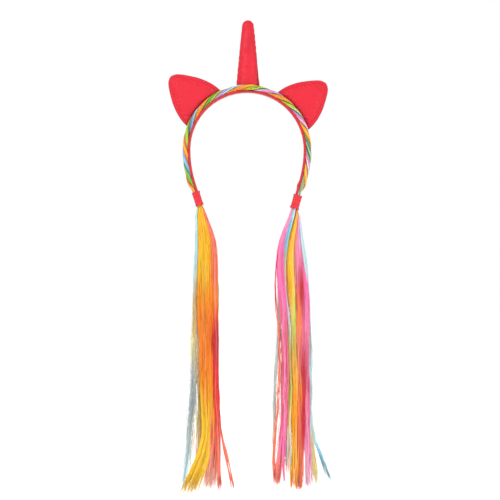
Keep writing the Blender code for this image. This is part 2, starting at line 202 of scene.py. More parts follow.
def ribbonMaterial(name, pitch, slope, tones):
    # Satin ribbon wound on: fine cords across it, and painted shade where each turn laps the last
    material, tree, shader = newMaterial(name)
    coords = addNode(tree, "ShaderNodeUVMap", {"uv_map": "wound"}).outputs["UV"]
    parts = addNode(tree, "ShaderNodeSeparateXYZ", None, {"Vector": coords})
    slant = addNode(tree, "ShaderNodeMath", {"operation": "MULTIPLY_ADD"},
                    {0: parts.outputs["Y"], 1: slope, 2: parts.outputs["X"]})
    turns = addNode(tree, "ShaderNodeMath", {"operation": "DIVIDE"},
                    {0: slant.outputs["Value"], 1: pitch})
    within = addNode(tree, "ShaderNodeMath", {"operation": "FRACT"}, {0: turns.outputs["Value"]})
    # painted shade along the step where each turn laps the last
    lapShade = addNode(tree, "ShaderNodeMapRange", {"interpolation_type": "SMOOTHSTEP"},
                       {"Value": within.outputs["Value"], "From Min": 0.0, "From Max": 0.11,
                        "To Min": 0.75, "To Max": 0.0})
    cords = addNode(tree, "ShaderNodeTexWave", {"wave_type": "BANDS", "bands_direction": "X"},
                    {"Vector": coords,
                     "Scale": 1 / ribbon["cord"] / math.pi / ribbon["cordBand"],
                     "Distortion": 0.8, "Detail": 2.0, "Detail Scale": 30.0})
    objectPlace = addNode(tree, "ShaderNodeTexCoord").outputs["Object"]
    mottle = addNode(tree, "ShaderNodeTexNoise", None,
                     {"Vector": objectPlace, "Scale": ribbon["mottle"], "Detail": 3.0})
    mixed = addNode(tree, "ShaderNodeMath", {"operation": "MULTIPLY_ADD"},
                    {0: cords.outputs["Fac"], 1: 0.35, 2: mottle.outputs["Fac"]})
    face = addNode(tree, "ShaderNodeMix", {"data_type": "RGBA"},
                   {"Factor": mixed.outputs["Value"], "A": (*linear(tones[0]), 1),
                    "B": (*linear(tones[1]), 1)})
    colour = addNode(tree, "ShaderNodeMix", {"data_type": "RGBA"},
                     {"Factor": lapShade.outputs["Result"], "A": face.outputs["Result"],
                      "B": (*linear(ribbon["edge"]), 1)})
    bump = addNode(tree, "ShaderNodeBump", None,
                   {"Strength": 0.25, "Distance": 0.07 * mm, "Height": cords.outputs["Fac"]})
    gloss = addNode(tree, "ShaderNodeMapRange", None,
                    {"Value": mottle.outputs["Fac"], "To Min": 0.34, "To Max": 0.50})
    setInputs(tree, shader, {
        "Base Color": colour.outputs["Result"], "Roughness": gloss.outputs["Result"],
        "Normal": bump.outputs["Normal"], "IOR": 1.5, "Specular IOR Level": 0.36,
        "Sheen Weight": 0.05, "Sheen Roughness": 0.4, "Sheen Tint": (*linear(sheenTint), 1)})
    return material


def hairMaterial(name, roughness):
    # Dyed polyester hair, drawn and heat set: each fibre has its own dye (in the twist with painted
    # shade) and a narrow bright gloss
    material, tree, shader = newMaterial(name)
    dyeAndShade = addNode(tree, "ShaderNodeVertexColor", {"layer_name": "dyeAndShade"})
    place = addNode(tree, "ShaderNodeTexCoord").outputs["Object"]
    lengthwise = addNode(tree, "ShaderNodeMapping", None,
                         {"Vector": place, "Scale": (900, 900, 30)})
    streaks = addNode(tree, "ShaderNodeTexNoise", None,
                      {"Vector": lengthwise.outputs["Vector"], "Scale": 1.0, "Detail": 2.0})
    level = addNode(tree, "ShaderNodeMapRange", None,
                    {"Value": streaks.outputs["Fac"], "From Min": 0.3, "From Max": 0.7,
                     "To Min": 0.90, "To Max": 1.06})
    colour = addNode(tree, "ShaderNodeVectorMath", {"operation": "SCALE"},
                     {0: dyeAndShade.outputs["Color"], "Scale": level.outputs["Result"]})
    gloss = addNode(tree, "ShaderNodeMapRange", None,
                    {"Value": streaks.outputs["Fac"], "To Min": roughness - 0.07,
                     "To Max": roughness + 0.09})
    setInputs(tree, shader, {
        "Base Color": colour.outputs["Vector"], "Roughness": gloss.outputs["Result"],
        "IOR": 1.54, "Specular IOR Level": 0.45})
    return material


# Mesh making

def wovenSkin(steps, around, place, uvSize, ring=False):
    # A grid rolled into a tube: u runs along it, v round it. The seam is merged and the ends are
    # filled, but for a ring, whose two ends meet.
    work = bmesh.new()
    bmesh.ops.create_grid(work, x_segments=steps, y_segments=around, size=1.0)
    layer = work.loops.layers.uv.new("wound")
    for face in work.faces:
        for loop in face.loops:
            u, v = (loop.vert.co.x + 1) / 2, (loop.vert.co.y + 1) / 2
            loop[layer].uv = (u * uvSize[0], v * uvSize[1])
    for vert in work.verts:
        vert.co = place((vert.co.x + 1) / 2, (vert.co.y + 1) / 2)
    bmesh.ops.remove_doubles(work, verts=work.verts, dist=0.4e-6)
    if not ring:
        edges = [edge for edge in work.edges if edge.is_boundary]
        bmesh.ops.holes_fill(work, edges=edges, sides=0)
        caps = [face for face in work.faces if len(face.verts) > 4]
        bmesh.ops.triangulate(work, faces=caps)
    bmesh.ops.recalc_face_normals(work, faces=work.faces)
    return work


def inScene(name, data):
    item = bpy.data.objects.new(name, data)
    bpy.context.scene.collection.objects.link(item)
    return item


def shownMesh(item):
    # the mesh that an object shows, with its curve or modifiers worked out
    return bpy.data.meshes.new_from_object(
        item.evaluated_get(bpy.context.evaluated_depsgraph_get()))


def newPiece(name, mesh, material, slotName, *nodes):
    piece = inScene(name, mesh)
    mesh.materials.clear()
    mesh.materials.append(material)
    mesh.shade_smooth()
    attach(piece, "root")
    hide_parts(*nodes)
    return piece


def meshFrom(name, work):
    mesh = bpy.data.meshes.new(name)
    work.to_mesh(mesh)
    work.free()
    return mesh


def markPaintedShade(mesh, shade):
    # painted shade in the seams, folds and edges, and the twist's painted shadow, read by the satin
    attribute = mesh.color_attributes.new(name="paintedShade", type="FLOAT_COLOR", domain="POINT")
    attribute.data.foreach_set("color", np.repeat(np.clip(shade, 0, 1), 4))


def roundedBox(share, low, high, halfDepth, corner):
    # Outline of a box with round corners at a share of the way round: outward place and y
    straightX, straightY = (high - low) - 2 * corner, 2 * (halfDepth - corner)
    arc = corner * math.pi / 2
    lengths = [straightY, arc, straightX, arc, straightY, arc, straightX, arc]
    centres = [(high, 0), (high - corner, halfDepth - corner), ((low + high) / 2, halfDepth),
               (low + corner, halfDepth - corner), (low, 0),
               (low + corner, corner - halfDepth), ((low + high) / 2, -halfDepth),
               (high - corner, corner - halfDepth)]
    headings = [(0, 1), None, (-1, 0), None, (0, -1), None, (1, 0), None]
    left = (share % 1.0) * sum(lengths)
    for i, length in enumerate(lengths):
        if left > length and i < 7:
            left -= length
            continue
        part = left / length
        cx, cy = centres[i]
        if headings[i]:
            return (cx + headings[i][0] * (part - 0.5) * length,
                    cy + headings[i][1] * (part - 0.5) * length)
        angle = (part + (i - 1) / 2) * math.pi / 2
        return cx + corner * math.cos(angle), cy + corner * math.sin(angle)


def roundLength(low, high, halfDepth, corner):
    return 2 * (high - low - 2 * corner) + 4 * (halfDepth - corner) + 2 * math.pi * corner


# The bow, wound in ribbon
band = {
    "rings": 640, "around": 40, "corner": 0.9 * mm, "ridge": 0.20 * mm,
    "jogStation": 131.5 * mm, "jogLength": 5.5 * mm, "jogHeight": 0.9 * mm,
}


def bandPlace(u, v):
    station = -bow["end"][-1] + u * (bow["end"][-1] + bow["end"][1])
    girth = roundLength(0, bow["thickness"], bow["width"] / 2, band["corner"])
    turn = (station + v * girth * (ribbon["pitch"] / girth)) / ribbon["pitch"]
    within = turn % 1.0
    ridge = band["ridge"] * (1 - smooth(within / 0.08) * (1 - 0.75 * smooth((within - 0.1) / 0.9)))
    ridge += 0.05 * mm * noise.noise(Vector((station * 300, v * 9, 2.0)))
    out, y = roundedBox(v, 0, bow["thickness"], bow["width"] / 2, band["corner"])
    centre = bow["thickness"] / 2
    swell = ridge - band["ridge"] * 0.4
    spread = Vector((out - centre, y))
    spread += spread.normalized() * swell
    jog = smooth(1 - abs(station - band["jogStation"]) / band["jogLength"])
    if spread.x < 0:
        spread.x -= band["jogHeight"] * jog * smooth(-spread.x / centre * 1.6)
    return bowPlace(station, centre + spread.x, spread.y)


girthOfBand = roundLength(0, bow["thickness"], bow["width"] / 2, band["corner"])
skin = wovenSkin(band["rings"], band["around"], bandPlace,
                 (bow["end"][-1] + bow["end"][1], girthOfBand))
bandRibbon = ribbonMaterial("satin_ribbon_wound_on_the_bow", ribbon["pitch"],
                            ribbon["pitch"] / girthOfBand, ribbon["tones"]["bow"])
newPiece("bandRibbon", meshFrom("bandRibbon", skin), bandRibbon, "red_ribbon", "band")
print("stage: bow")

# End wraps: three overlapping turns of ribbon, pulled tight, the last one flaring a little
wrap = {
    "length": 15 * mm, "low": -1.1 * mm, "high": {-1: 6.84 * mm, 1: 7.5 * mm},
    "halfDepth": 6.1 * mm, "corner": 2.4 * mm, "wall": 0.9 * mm, "pitch": 4.6 * mm,
    "ridge": 0.42 * mm, "steps": 110, "around": 96, "lip": 0.74, "lipEnd": 0.75,
    "flare": {-1: 0.35 * mm, 1: 0.8 * mm}, "cornerFlare": 0.8 * mm, "tuck": 0.25 * mm,
    "slip": {-1: -0.3 * mm, 1: 1.5 * mm}, "drawnFrom": -2 * mm, "drawn": 0.4,
    "pucker": ((0.16 * mm, 16, 6, 7.0), (0.10 * mm, 40, 9, 3.0)), "rim": 0.35 * mm,
}


def wrapPlace(side):
    high = wrap["high"][side]
    girth = roundLength(wrap["low"], high, wrap["halfDepth"], wrap["corner"])
    middle = (wrap["low"] + high) / 2

    def place(u, v):
        # u goes down the outside, round the lower lip, up the inside and back over the upper lip
        lip, lipEnd = wrap["lip"], wrap["lipEnd"]
        down = u / lip if u < lip else 1 - (u - lipEnd) / (1 - lipEnd)
        down = min(max(down, 0.0), 1.0)
        isOut = u <= (lip + lipEnd) / 2
        slant = 0.5 * math.sin(2 * math.pi * v) + v
        turn = down * wrap["length"] / wrap["pitch"] + slant
        within = turn % 1.0
        ridge = wrap["ridge"] * (smooth(within / 0.10) - 0.7 * within)
        pucker = sum(depth * noise.noise(Vector((v * crosswise, down * lengthwise, side * seed)))
                     for depth, crosswise, lengthwise, seed in wrap["pucker"])
        edge = smooth((down - 0.8) / 0.2) * wrap["flare"][side]
        edge -= wrap["tuck"] * smooth((0.12 - down) / 0.12)
        out, y = roundedBox(v, wrap["low"], high, wrap["halfDepth"], wrap["corner"])
        # the upper part is drawn in over the bow and the twist
        drawn = smooth((0.7 - down) / 0.55)
        if out > middle and y > wrap["drawnFrom"]:
            slope = wrap["drawn"] * (y - wrap["drawnFrom"]) * (out - middle) / (high - middle)
            out -= drawn * slope
        spread = Vector((out - middle, y * (1 - 0.06 * drawn)))
        if isOut:
            grow = ridge + pucker + edge
        else:
            grow = -wrap["wall"] * (1 + 0.9 * drawn) + edge * 0.8
        rim = wrap["rim"] * noise.noise(Vector((v * 5, side * 2.0, 0.5 + (down > 0.5) * 4)))
        rim *= smooth(abs(down - 0.5) * 2.4 - 0.2)
        spread += spread.normalized() * (grow - wrap["tuck"])
        if spread.x < 0:
            inner = smooth(-spread.x / (3 * mm))
            spread.x -= wrap["cornerFlare"] * smooth((0.22 - down) / 0.22) * inner
        station = bow["wrapTop"][side] + wrap["slip"][side] + down * wrap["length"] + rim
        return bowPlace(side * station, middle + spread.x, spread.y)
    return place, girth


for side, name in ((-1, "Left"), (1, "Right")):
    place, girth = wrapPlace(side)
    skin = wovenSkin(wrap["steps"], wrap["around"], place,
                     (wrap["length"] / wrap["lip"], girth), ring=True)
    wrapRibbon = ribbonMaterial("satin_ribbon_wrap" + name, wrap["pitch"], wrap["pitch"] / girth,
                                ribbon["tones"]["wrap"])
    newPiece("endWrap" + name, meshFrom("endWrap" + name, skin), wrapRibbon, "red_ribbon",
             "end_wrap_left" if side < 0 else "end_wrap_right")
print("stage: end wraps")


# Padding: cloth panels blown up by the stuffing, at ten times life size where the solver is steady
stuffing = {
    "size": 10.0, "frames": 16,
    "cloth": {"quality": 6, "mass": 0.3, "use_pressure": True, "tension_stiffness": 12,
              "compression_stiffness": 8, "bending_stiffness": 0.35,
              "vertex_group_mass": "held"},
}


def inflate(piece, held, pressure, cap, slack):
    # the held vertices are sewn down; no other moves further than the cap
    size, frames = stuffing["size"], stuffing["frames"]
    mesh = piece.data
    mesh.transform(Matrix.Scale(size, 4))
    piece.vertex_groups.new(name="held").add(held, 1.0, "REPLACE")
    cloth = piece.modifiers.new("stuffing", "CLOTH")
    for key, value in stuffing["cloth"].items():
        setattr(cloth.settings, key, value)
    cloth.settings.uniform_pressure_force = pressure
    cloth.settings.shrink_min = -slack
    cloth.settings.effector_weights.gravity = 0
    cloth.point_cache.frame_end = frames
    rest = np.array([vert.co[:] for vert in mesh.vertices])
    for step in range(1, frames + 1):
        bpy.context.scene.frame_set(step)
    shown = piece.evaluated_get(bpy.context.evaluated_depsgraph_get())
    moved = np.array([vert.co[:] for vert in shown.data.vertices]) - rest
    length = np.linalg.norm(moved, axis=1)
    moved *= np.minimum(1.0, cap * size / np.maximum(length, 1e-9))[:, None]
    piece.modifiers.clear()
    piece.vertex_groups.clear()
    mesh.vertices.foreach_set("co", (rest + moved).ravel())
    mesh.transform(Matrix.Scale(1 / size, 4))
    bpy.context.scene.frame_set(1)


# Horn: two satin panels sewn up the sides, stuffed, gathered where it meets the bow
horn = {
    "height": 73.7 * mm, "halfWidth": 12.95 * mm, "halfDepth": 6.6 * mm, "x": 1.0 * mm,
    "y": 3.0 * mm, "rings": 150, "around": 112, "crowd": 1.35, "hem": -0.03,
    "cloth": (74 * mm, 62 * mm),  # along and round it
    "seat": {"over": 0.15 * mm, "least": 0.1 * mm, "height": 0.25},
    "seams": {"right": -0.092, "swing": 0.062, "swingTo": 0.75, "left": 0.518},
    "sewn": {"seam": 0.012, "hem": 0.035, "tip": 0.985},
    "stuffing": {"pressure": 2.5, "cap": 0.45 * mm, "slack": 0.03},
    "tip": {"from": 0.9, "length": 0.1, "width": 0.485, "depth": 0.72, "round": 2.1},
    "sections": ((-0.03, 1.02, 0.98), (0.08, 0.96, 1.03), (0.2, 0.893, 1.03),
                 (0.32, 0.832, 1.0), (0.44, 0.762, 0.97), (0.56, 0.692, 0.93),
                 (0.68, 0.632, 0.88), (0.78, 0.574, 0.83), (0.86, 0.52, 0.78),
                 (0.915, 0.462, 0.70), (0.955, 0.385, 0.60), (0.982, 0.26, 0.42),
                 (0.997, 0.11, 0.18), (1.0, 0.0, 0.0)),
}


def hornSection(height):
    rows = horn["sections"]
    heights = [row[0] for row in rows]
    return (np.interp(height, heights, [row[1] for row in rows]),
            np.interp(height, heights, [row[2] for row in rows]))


def hornPlace(u, v):
    # closer rings towards the round tip
    height = horn["hem"] + (1 - horn["hem"]) * (1 - (1 - u) ** horn["crowd"])
    width, depth = hornSection(height)
    tip = horn["tip"]
    if height > tip["from"]:
        share = (height - tip["from"]) / tip["length"]
        closing = math.sqrt(max(0.0, 1 - share ** tip["round"]))
        width, depth = tip["width"] * closing, tip["depth"] * closing
    angle = 2 * math.pi * v
    x = horn["halfWidth"] * width * math.cos(angle)
    y = horn["halfDepth"] * depth * math.sin(angle)
    seat = horn["seat"]
    seatFloor = math.sqrt(seatRadius ** 2 - (horn["x"] + x) ** 2) - bow["crownRadius"]
    z = bow["thickness"] + bow["gap"] + horn["height"] * height
    lift = seatFloor + seat["over"] - (bow["thickness"] + bow["gap"])
    z = max(z + lift * (1 - smooth(height / seat["height"])), seatFloor + seat["least"])
    return Vector((horn["x"] + x, horn["y"] + y, z))


def hornAngle(spot):
    return math.atan2((spot.y - horn["y"]) / horn["halfDepth"],
                      (spot.x - horn["x"]) / horn["halfWidth"])


skin = wovenSkin(horn["rings"], horn["around"], hornPlace, horn["cloth"])
hornMesh = meshFrom("hornSatin", skin)
hornPiece = newPiece("hornSatin", hornMesh, satinMaterial("woven_satin_horn", 0, "wound"),
                     "red_satin", "horn")


def seamDistances(angle, height):
    # turns away from the two side seams; the right one swings to the front towards the hem
    seams = horn["seams"]
    right = seams["right"] + seams["swing"] * smooth(height / seams["swingTo"])
    return [abs((angle / (2 * math.pi) - turn + 0.5) % 1.0 - 0.5)
            for turn in (right, seams["left"])]


pinned, sewn = [], horn["sewn"]
for vert in hornMesh.vertices:
    height = (vert.co.z - bow["thickness"]) / horn["height"]
    atSeam = min(seamDistances(hornAngle(vert.co), height)) < sewn["seam"]
    if atSeam or not sewn["hem"] <= height <= sewn["tip"]:
        pinned.append(vert.index)
inflate(hornPiece, pinned, **horn["stuffing"])

# widths across the seams are in turns, heights in shares of the horn's, each with its spread
hornShape = {"seamDepth": 0.50 * mm, "seamWidth": 0.014, "pucker": 0.16 * mm,
             "puckerWidth": 0.045, "ripple": 3.1 * mm, "shadowWidth": 0.018,
             "tipFold": 0.34 * mm, "tipAt": (0.72, 0.20), "frontFold": 0.40 * mm,
             "frontAt": (-1.50, 0.24), "gather": 0.20 * mm, "gatherAt": (0.03, 0.06),
             "hemShadowAt": (0.045, 0.02), "seamShade": 0.95, "foldShade": 0.22,
             "hemShade": 0.35, "folds": ((1.0, 3.4, 2.2, 1.0), (0.5, 8.0, 3.5, 4.0)),
             "foldsLeast": 0.35, "gathers": 19, "smoothTip": (0.955, 0.04)}
hornPaintedShade = np.zeros(len(hornMesh.vertices))
for vert in hornMesh.vertices:
    height = (vert.co.z - bow["thickness"] - bow["gap"]) / horn["height"]
    away = Vector(((vert.co.x - horn["x"]) / horn["halfWidth"] ** 2,
                   (vert.co.y - horn["y"]) / horn["halfDepth"] ** 2, 0))
    if away.length < 1e-6:
        continue
    angle = hornAngle(vert.co)
    push = shade = 0.0
    for seam, distance in enumerate(seamDistances(angle, height)):
        push -= hornShape["seamDepth"] * bell(distance, hornShape["seamWidth"])
        # painted shade along each side seam
        shade += hornShape["seamShade"] * bell(distance, hornShape["shadowWidth"])
        ripple = math.sin(height * horn["height"] / hornShape["ripple"] * math.pi + 4.5 * seam)
        push += hornShape["pucker"] * ripple * bell(distance, hornShape["puckerWidth"])
    # soft upright folds below the tip, and short gathers above the hem
    tipZone = bell(height - hornShape["tipAt"][0], hornShape["tipAt"][1])
    fold = sum(weight * noise.noise(Vector((angle * around, height * along, place)))
               for weight, around, along, place in hornShape["folds"])
    push += hornShape["tipFold"] * fold * (hornShape["foldsLeast"] + tipZone)
    fromFront = angle - hornShape["frontAt"][0] + 0.25 * math.sin(height * 5)
    frontFold = bell(fromFront, hornShape["frontAt"][1]) * tipZone
    push -= hornShape["frontFold"] * frontFold
    # painted shade in the front fold and just above the hem, where the horn meets the bow
    shade += hornShape["foldShade"] * frontFold + hornShape["hemShade"] * bell(
        height - hornShape["hemShadowAt"][0], hornShape["hemShadowAt"][1])
    hornPaintedShade[vert.index] = shade
    hem = bell(height - hornShape["gatherAt"][0], hornShape["gatherAt"][1])
    gathers = math.sin(angle * hornShape["gathers"] + 2 * math.sin(angle * 3))
    push += hornShape["gather"] * hem * gathers
    push *= 1 - smooth((height - hornShape["smoothTip"][0]) / hornShape["smoothTip"][1])
    vert.co += away.normalized() * push
hornMesh.update()
markPaintedShade(hornMesh, hornPaintedShade)
print("stage: horn")

# The twist of hair, whose painted shadow lies on the ears. Each hank has four dyes at each of its
# stations.
twist = {
    "pitch": 42.6 * mm, "start": -8.4 * mm, "half": 2.88 * mm, "proud": 0.8 * mm,
    "sunk": 0.35 * mm, "endShare": 0.55, "squeeze": 10 * mm, "inWrap": 4 * mm,
    "crownTurn": 0.5, "crownLength": 14 * mm, "rings": 180, "groove": 0.24,
    "fibre": 0.16 * mm, "outer": 24, "inner": 13, "core": 0.42, "strays": 0.16,
    "bands": (-0.55, 0.25, 0.62), "edgeShade": (0.84, 2.9),
    "stations": (-140, -90, -45, -24, -4, 3, 10, 45, 90, 140),
    "strands": (
        {"name": "Orange", "node": "twist_strand_orange", "slot": "orange_hair", "place": 0.0,
         "order": (1, 0, 2, 3),
         "dyes": ("gold burnt amber coralRed", "gold orange red amber", "burnt amber orange gold",
                  "burnt amber orange gold", "burnt orange amber gold", "orange amber gold yellow",
                  "orange amber gold yellow", "burnt orange gold coral", "gold orange amber olive",
                  "gold amber orange straw")},
        {"name": "Green", "node": "twist_strand_green", "slot": "green_hair", "place": 1 / 3,
         "order": (2, 0, 1, 3),
         "dyes": ("leaf lime olive cyan", "lime leaf straw darkLeaf", "leaf lime darkLeaf yellow",
                  "leaf lime darkLeaf yellow", "burnt amber orange yellow",
                  "lime yellow gold leaf", "leaf yellow lime darkLeaf", "lime straw leaf deepTeal",
                  "deepTeal straw lime leaf", "olive teal ice leaf")},
        {"name": "Pink", "node": "twist_strand_pink", "slot": "pink_hair", "place": 2 / 3,
         "order": (3, 0, 1, 2),
         "dyes": ("cyan lavender teal ice", "cyan violet ice deepTeal", "deepTeal ice teal violet",
                  "violet ice deepTeal lavender", "teal ice violet deepTeal",
                  "teal lavender ice deepTeal", "hotPink lavender deepTeal ice",
                  "hotPink lavender pink violet", "hotPink white hotPink deepTeal",
                  "hotPink ice deepTeal white")}),
}

# Ears: two satin faces, padded, with a flat edge topstitched all round
ear = {
    "padding": 5.6 * mm, "rim": 1.9 * mm, "rimWidth": 3.1 * mm, "plane": 2.47 * mm,
    "voxel": 0.85 * mm, "groove": 0.22 * mm, "grooveWidth": 0.42 * mm,
    "pucker": 0.16 * mm, "puckerWidth": 2.6 * mm, "ripple": 0.22 * mm, "rippleWidth": 1.6 * mm,
    "edgeShade": (0.75, 0.6 * mm), "grooveShade": 0.06, "twistShade": {"front": 0.6, "back": 0.2},
    "twistShadow": 2.0 * mm, "start": 0.72, "roundEdge": 0.5 * mm, "swellShare": 0.36,
    "middleShare": 0.36, "sewnShare": 0.95, "foldRise": 6 * mm, "ripples": 23,
    "creaseScale": (14, 160), "foldScale": (95, 60),
    "stuffing": {"pressure": 3.0, "cap": 1.1 * mm, "slack": 0.035},
    "outline": ((0, 0.97), (0.15, 0.995), (0.3, 0.96), (0.45, 0.87), (0.6, 0.735),
                (0.75, 0.55), (0.87, 0.38), (0.94, 0.255), (0.98, 0.13), (1.0, 0.0)),
    "pieces": (
        {"name": "Left", "node": "ear_left", "side": -1, "angle": 46.4,
         "height": 54.1 * mm, "halfWidth": 25.9 * mm},
        {"name": "Right", "node": "ear_right", "side": 1, "angle": 50.1,
         "height": 51.3 * mm, "halfWidth": 25.6 * mm}),
    "stitch": 1.9 * mm, "stitchGap": 0.9 * mm, "thread": 0.19 * mm, "stitchBow": 0.16 * mm,
    "stitchSunk": 0.1 * mm, "stitchEnd": 0.55, "pathSteps": 900,
}


def catmull(points, steps):
    # smooth line through the points
    line = []
    for i in range(len(points) - 1):
        before, start = points[max(i - 1, 0)], points[i]
        end, after = points[i + 1], points[min(i + 2, len(points) - 1)]
        for step in range(steps):
            t = step / steps
            line.append(0.5 * (2 * start + (end - before) * t
                               + (2 * before - 5 * start + 4 * end - after) * t ** 2
                               + (3 * start - before - 3 * end + after) * t ** 3))
    line.append(points[-1].copy())
    return line


def earOutline(one):
    corner = ear["outline"][0][1] * one["halfWidth"]
    base = math.sqrt(seatRadius ** 2 - corner ** 2)
    right = catmull([Vector((one["halfWidth"] * width, base + one["height"] * up))
                     for up, width in ear["outline"]], 6)
    left = [Vector((-point.x, point.y)) for point in reversed(right[:-1])]
    spread = math.asin(corner / seatRadius)
    arc = [Vector((math.sin(a), math.cos(a))) * seatRadius
           for a in np.linspace(-spread, spread, 30)[1:-1]]
    return np.array([point[:] for point in right + left + arc])


def evenly(line, count):
    # the closed line again with points at even distances, and its length
    whole = np.vstack([line, line[:1]])
    run = np.concatenate([[0], np.cumsum(np.linalg.norm(np.diff(whole, axis=0), axis=1))])
    marks = np.linspace(0, run[-1], count, endpoint=False)
    return np.stack([np.interp(marks, run, whole[:, axis]) for axis in (0, 1)], axis=1), run[-1]


def edgeDistance(spots, line):
    # how far each flat spot lies inside the closed line
    best = np.full(len(spots), 1.0)
    for start, end in zip(line, np.roll(line, -1, axis=0)):
        step = end - start
        share = np.clip(((spots - start) @ step) / max(step @ step, 1e-12), 0, 1)
        gap = np.linalg.norm(spots - start - share[:, None] * step, axis=1)
        best = np.minimum(best, gap)
    return best


def puff(distance, one):
    # half the thickness at a distance from the edge: a flat rim, then the padding
    swell = (ear["padding"] - ear["rim"]) / 2
    inner = np.clip((distance - ear["rimWidth"]) / (ear["swellShare"] * one["halfWidth"]), 0, 1)
    rim = np.clip(distance / ear["roundEdge"], 0, 1)
    return ear["rim"] / 2 * np.sqrt(1 - (1 - rim) ** 2) + swell * np.sqrt(1 - (1 - inner) ** 2)


def makeEar(one):
    lean = math.radians(one["angle"]) * one["side"]
    up = Vector((math.sin(lean), 0, math.cos(lean)))
    across = Vector((math.cos(lean), 0, -math.sin(lean)))
    line, _ = evenly(earOutline(one), 200)
    middle = np.array([0.0, seatRadius + ear["middleShare"] * one["height"]])
    work = bmesh.new()
    verts = [work.verts.new((x, 0, z)) for x, z in line]
    flat = work.faces.new(verts)
    grown = bmesh.ops.extrude_face_region(work, geom=[flat])
    back = [item for item in grown["geom"] if isinstance(item, bmesh.types.BMVert)]
    bmesh.ops.translate(work, verts=verts, vec=(0, -ear["rim"] / 2, 0))
    bmesh.ops.translate(work, verts=back, vec=(0, ear["rim"] / 2, 0))
    bmesh.ops.recalc_face_normals(work, faces=work.faces)
    mesh = meshFrom("earSatin" + one["name"], work)
    piece = newPiece("earSatin" + one["name"], mesh,
                     satinMaterial("woven_satin_ear" + one["name"], lean), "red_satin", one["node"])
    remesh = piece.modifiers.new("even quads", "REMESH")
    remesh.mode = "VOXEL"
    remesh.voxel_size = ear["voxel"]
    remesh.use_smooth_shade = True
    mesh = shownMesh(piece)
    piece.modifiers.clear()
    piece.data = mesh
    mesh.name = piece.name

    def measured():
        spots = np.array([vert.co[:] for vert in mesh.vertices])
        return spots, edgeDistance(spots[:, [0, 2]], line), np.sign(spots[:, 1])

    # the padding starts a little thin, and the stuffing swells it
    spots, distance, front = measured()
    half = puff(distance, one)
    start = ear["start"]
    rimHalf = ear["rim"] / 2
    spots[:, 1] = front * np.minimum(half, rimHalf + (half - rimHalf) * start)
    mesh.vertices.foreach_set("co", spots.ravel())
    pinned = [int(i) for i in np.nonzero(distance < ear["rimWidth"] * ear["sewnShare"])[0]]
    inflate(piece, pinned, **ear["stuffing"])

    # one subdivision, then the topstitched channel and the puckers it pulls in
    work = bmesh.new()
    work.from_mesh(mesh)
    bmesh.ops.subdivide_edges(work, edges=work.edges, cuts=1, use_grid_fill=True, smooth=0.35)
    bmesh.ops.recalc_face_normals(work, faces=work.faces)
    work.to_mesh(mesh)
    work.free()
    mesh.update()
    spots, distance, front = measured()
    channel = bell(distance - ear["rimWidth"], ear["grooveWidth"])
    angle = np.arctan2(spots[:, 2] - middle[1], spots[:, 0])
    around, inwards = ear["creaseScale"]
    creases = np.array([noise.noise(Vector((a * around, d * inwards, one["side"] * 3.0)))
                        for a, d in zip(angle, distance)])
    wide, high = ear["foldScale"]
    folds = np.array([noise.noise(Vector((x * wide, z * high, s * 2.0 + one["side"])))
                      for (x, _, z), s in zip(spots, front)])
    nearSeam = bell(distance - ear["rimWidth"] * 1.5, ear["puckerWidth"])
    rimRipple = bell(distance, ear["rippleWidth"])
    push = (-ear["groove"] * channel + ear["pucker"] * creases * nearSeam
            + ear["pucker"] * folds * np.clip(distance / ear["foldRise"], 0, 1))
    # painted shade at the sewn edge and in the channel, and the twist's painted shadow on the satin
    # just above it, stronger on the front face
    covered = bow["crownRadius"] + bow["thickness"] - twist["sunk"] + 2 * twist["half"]
    overTwist = np.hypot(spots[:, 0], spots[:, 2]) - covered
    edgeShade, edgeWidth = ear["edgeShade"]
    shade = edgeShade * bell(distance, edgeWidth) + ear["grooveShade"] * channel
    underTwist = np.where(front < 0, ear["twistShade"]["front"], ear["twistShade"]["back"])
    shade += underTwist * bell(np.maximum(overTwist, 0), ear["twistShadow"])
    waves = np.sin(angle * ear["ripples"] + 3 * creases)
    spots[:, 1] += front * push + ear["ripple"] * rimRipple * waves
    placed = (np.outer(spots[:, 0], across) + np.outer(spots[:, 2], up)
              + np.outer(spots[:, 1], (0, 1, 0))
              + np.array([0, ear["plane"], -bow["crownRadius"]]))
    mesh.vertices.foreach_set("co", placed.ravel())
    mesh.shade_smooth()
    mesh.update()
    markPaintedShade(mesh, shade)
    return piece, line, up, across


def makeStitches(one, line, up, across):
    # short raised threads along the channel, front and back
    middle = line.mean(axis=0)
    inset = ear["rimWidth"]
    normals = np.stack([np.roll(line, -1, axis=0)[:, 1] - np.roll(line, 1, axis=0)[:, 1],
                        np.roll(line, 1, axis=0)[:, 0] - np.roll(line, -1, axis=0)[:, 0]], axis=1)
    normals /= np.linalg.norm(normals, axis=1)[:, None]
    outwards = np.sign(((line - middle) * normals).sum(axis=1)).mean()
    inner = line - normals * math.copysign(inset, outwards)
    inner = inner[edgeDistance(inner, line) > inset * 0.93]
    steps = ear["pathSteps"]
    path, run = evenly(inner, steps)
    curve = bpy.data.curves.new("stitches" + one["name"], "CURVE")
    curve.dimensions = "3D"
    curve.bevel_depth = ear["thread"]
    curve.bevel_resolution = 1
    curve.use_fill_caps = True
    pitch = ear["stitch"] + ear["stitchGap"]
    for face in (-1, 1):
        for number in range(int(run / pitch)):
            first = int(steps * number * pitch / run)
            last = first + int(steps * ear["stitch"] / run)
            spline = curve.splines.new("POLY")
            spline.points.add(4)
            for i, target in enumerate(spline.points):
                x, z = path[(first + (last - first) * i // 4) % steps]
                rise = (ear["rim"] / 2 - ear["groove"] * 0.75
                        + ear["stitchBow"] * math.sin(math.pi * i / 4) - ear["stitchSunk"])
                spot = across * x + up * z
                target.co = (spot.x, ear["plane"] + face * rise, spot.z - bow["crownRadius"], 1)
                target.radius = ear["stitchEnd"] if i in (0, 4) else 1.0
    holder = inScene("stitchCurve", curve)
    mesh = shownMesh(holder)
    bpy.data.objects.remove(holder)
    newPiece("earStitches" + one["name"], mesh, threadMaterial, "red_satin")


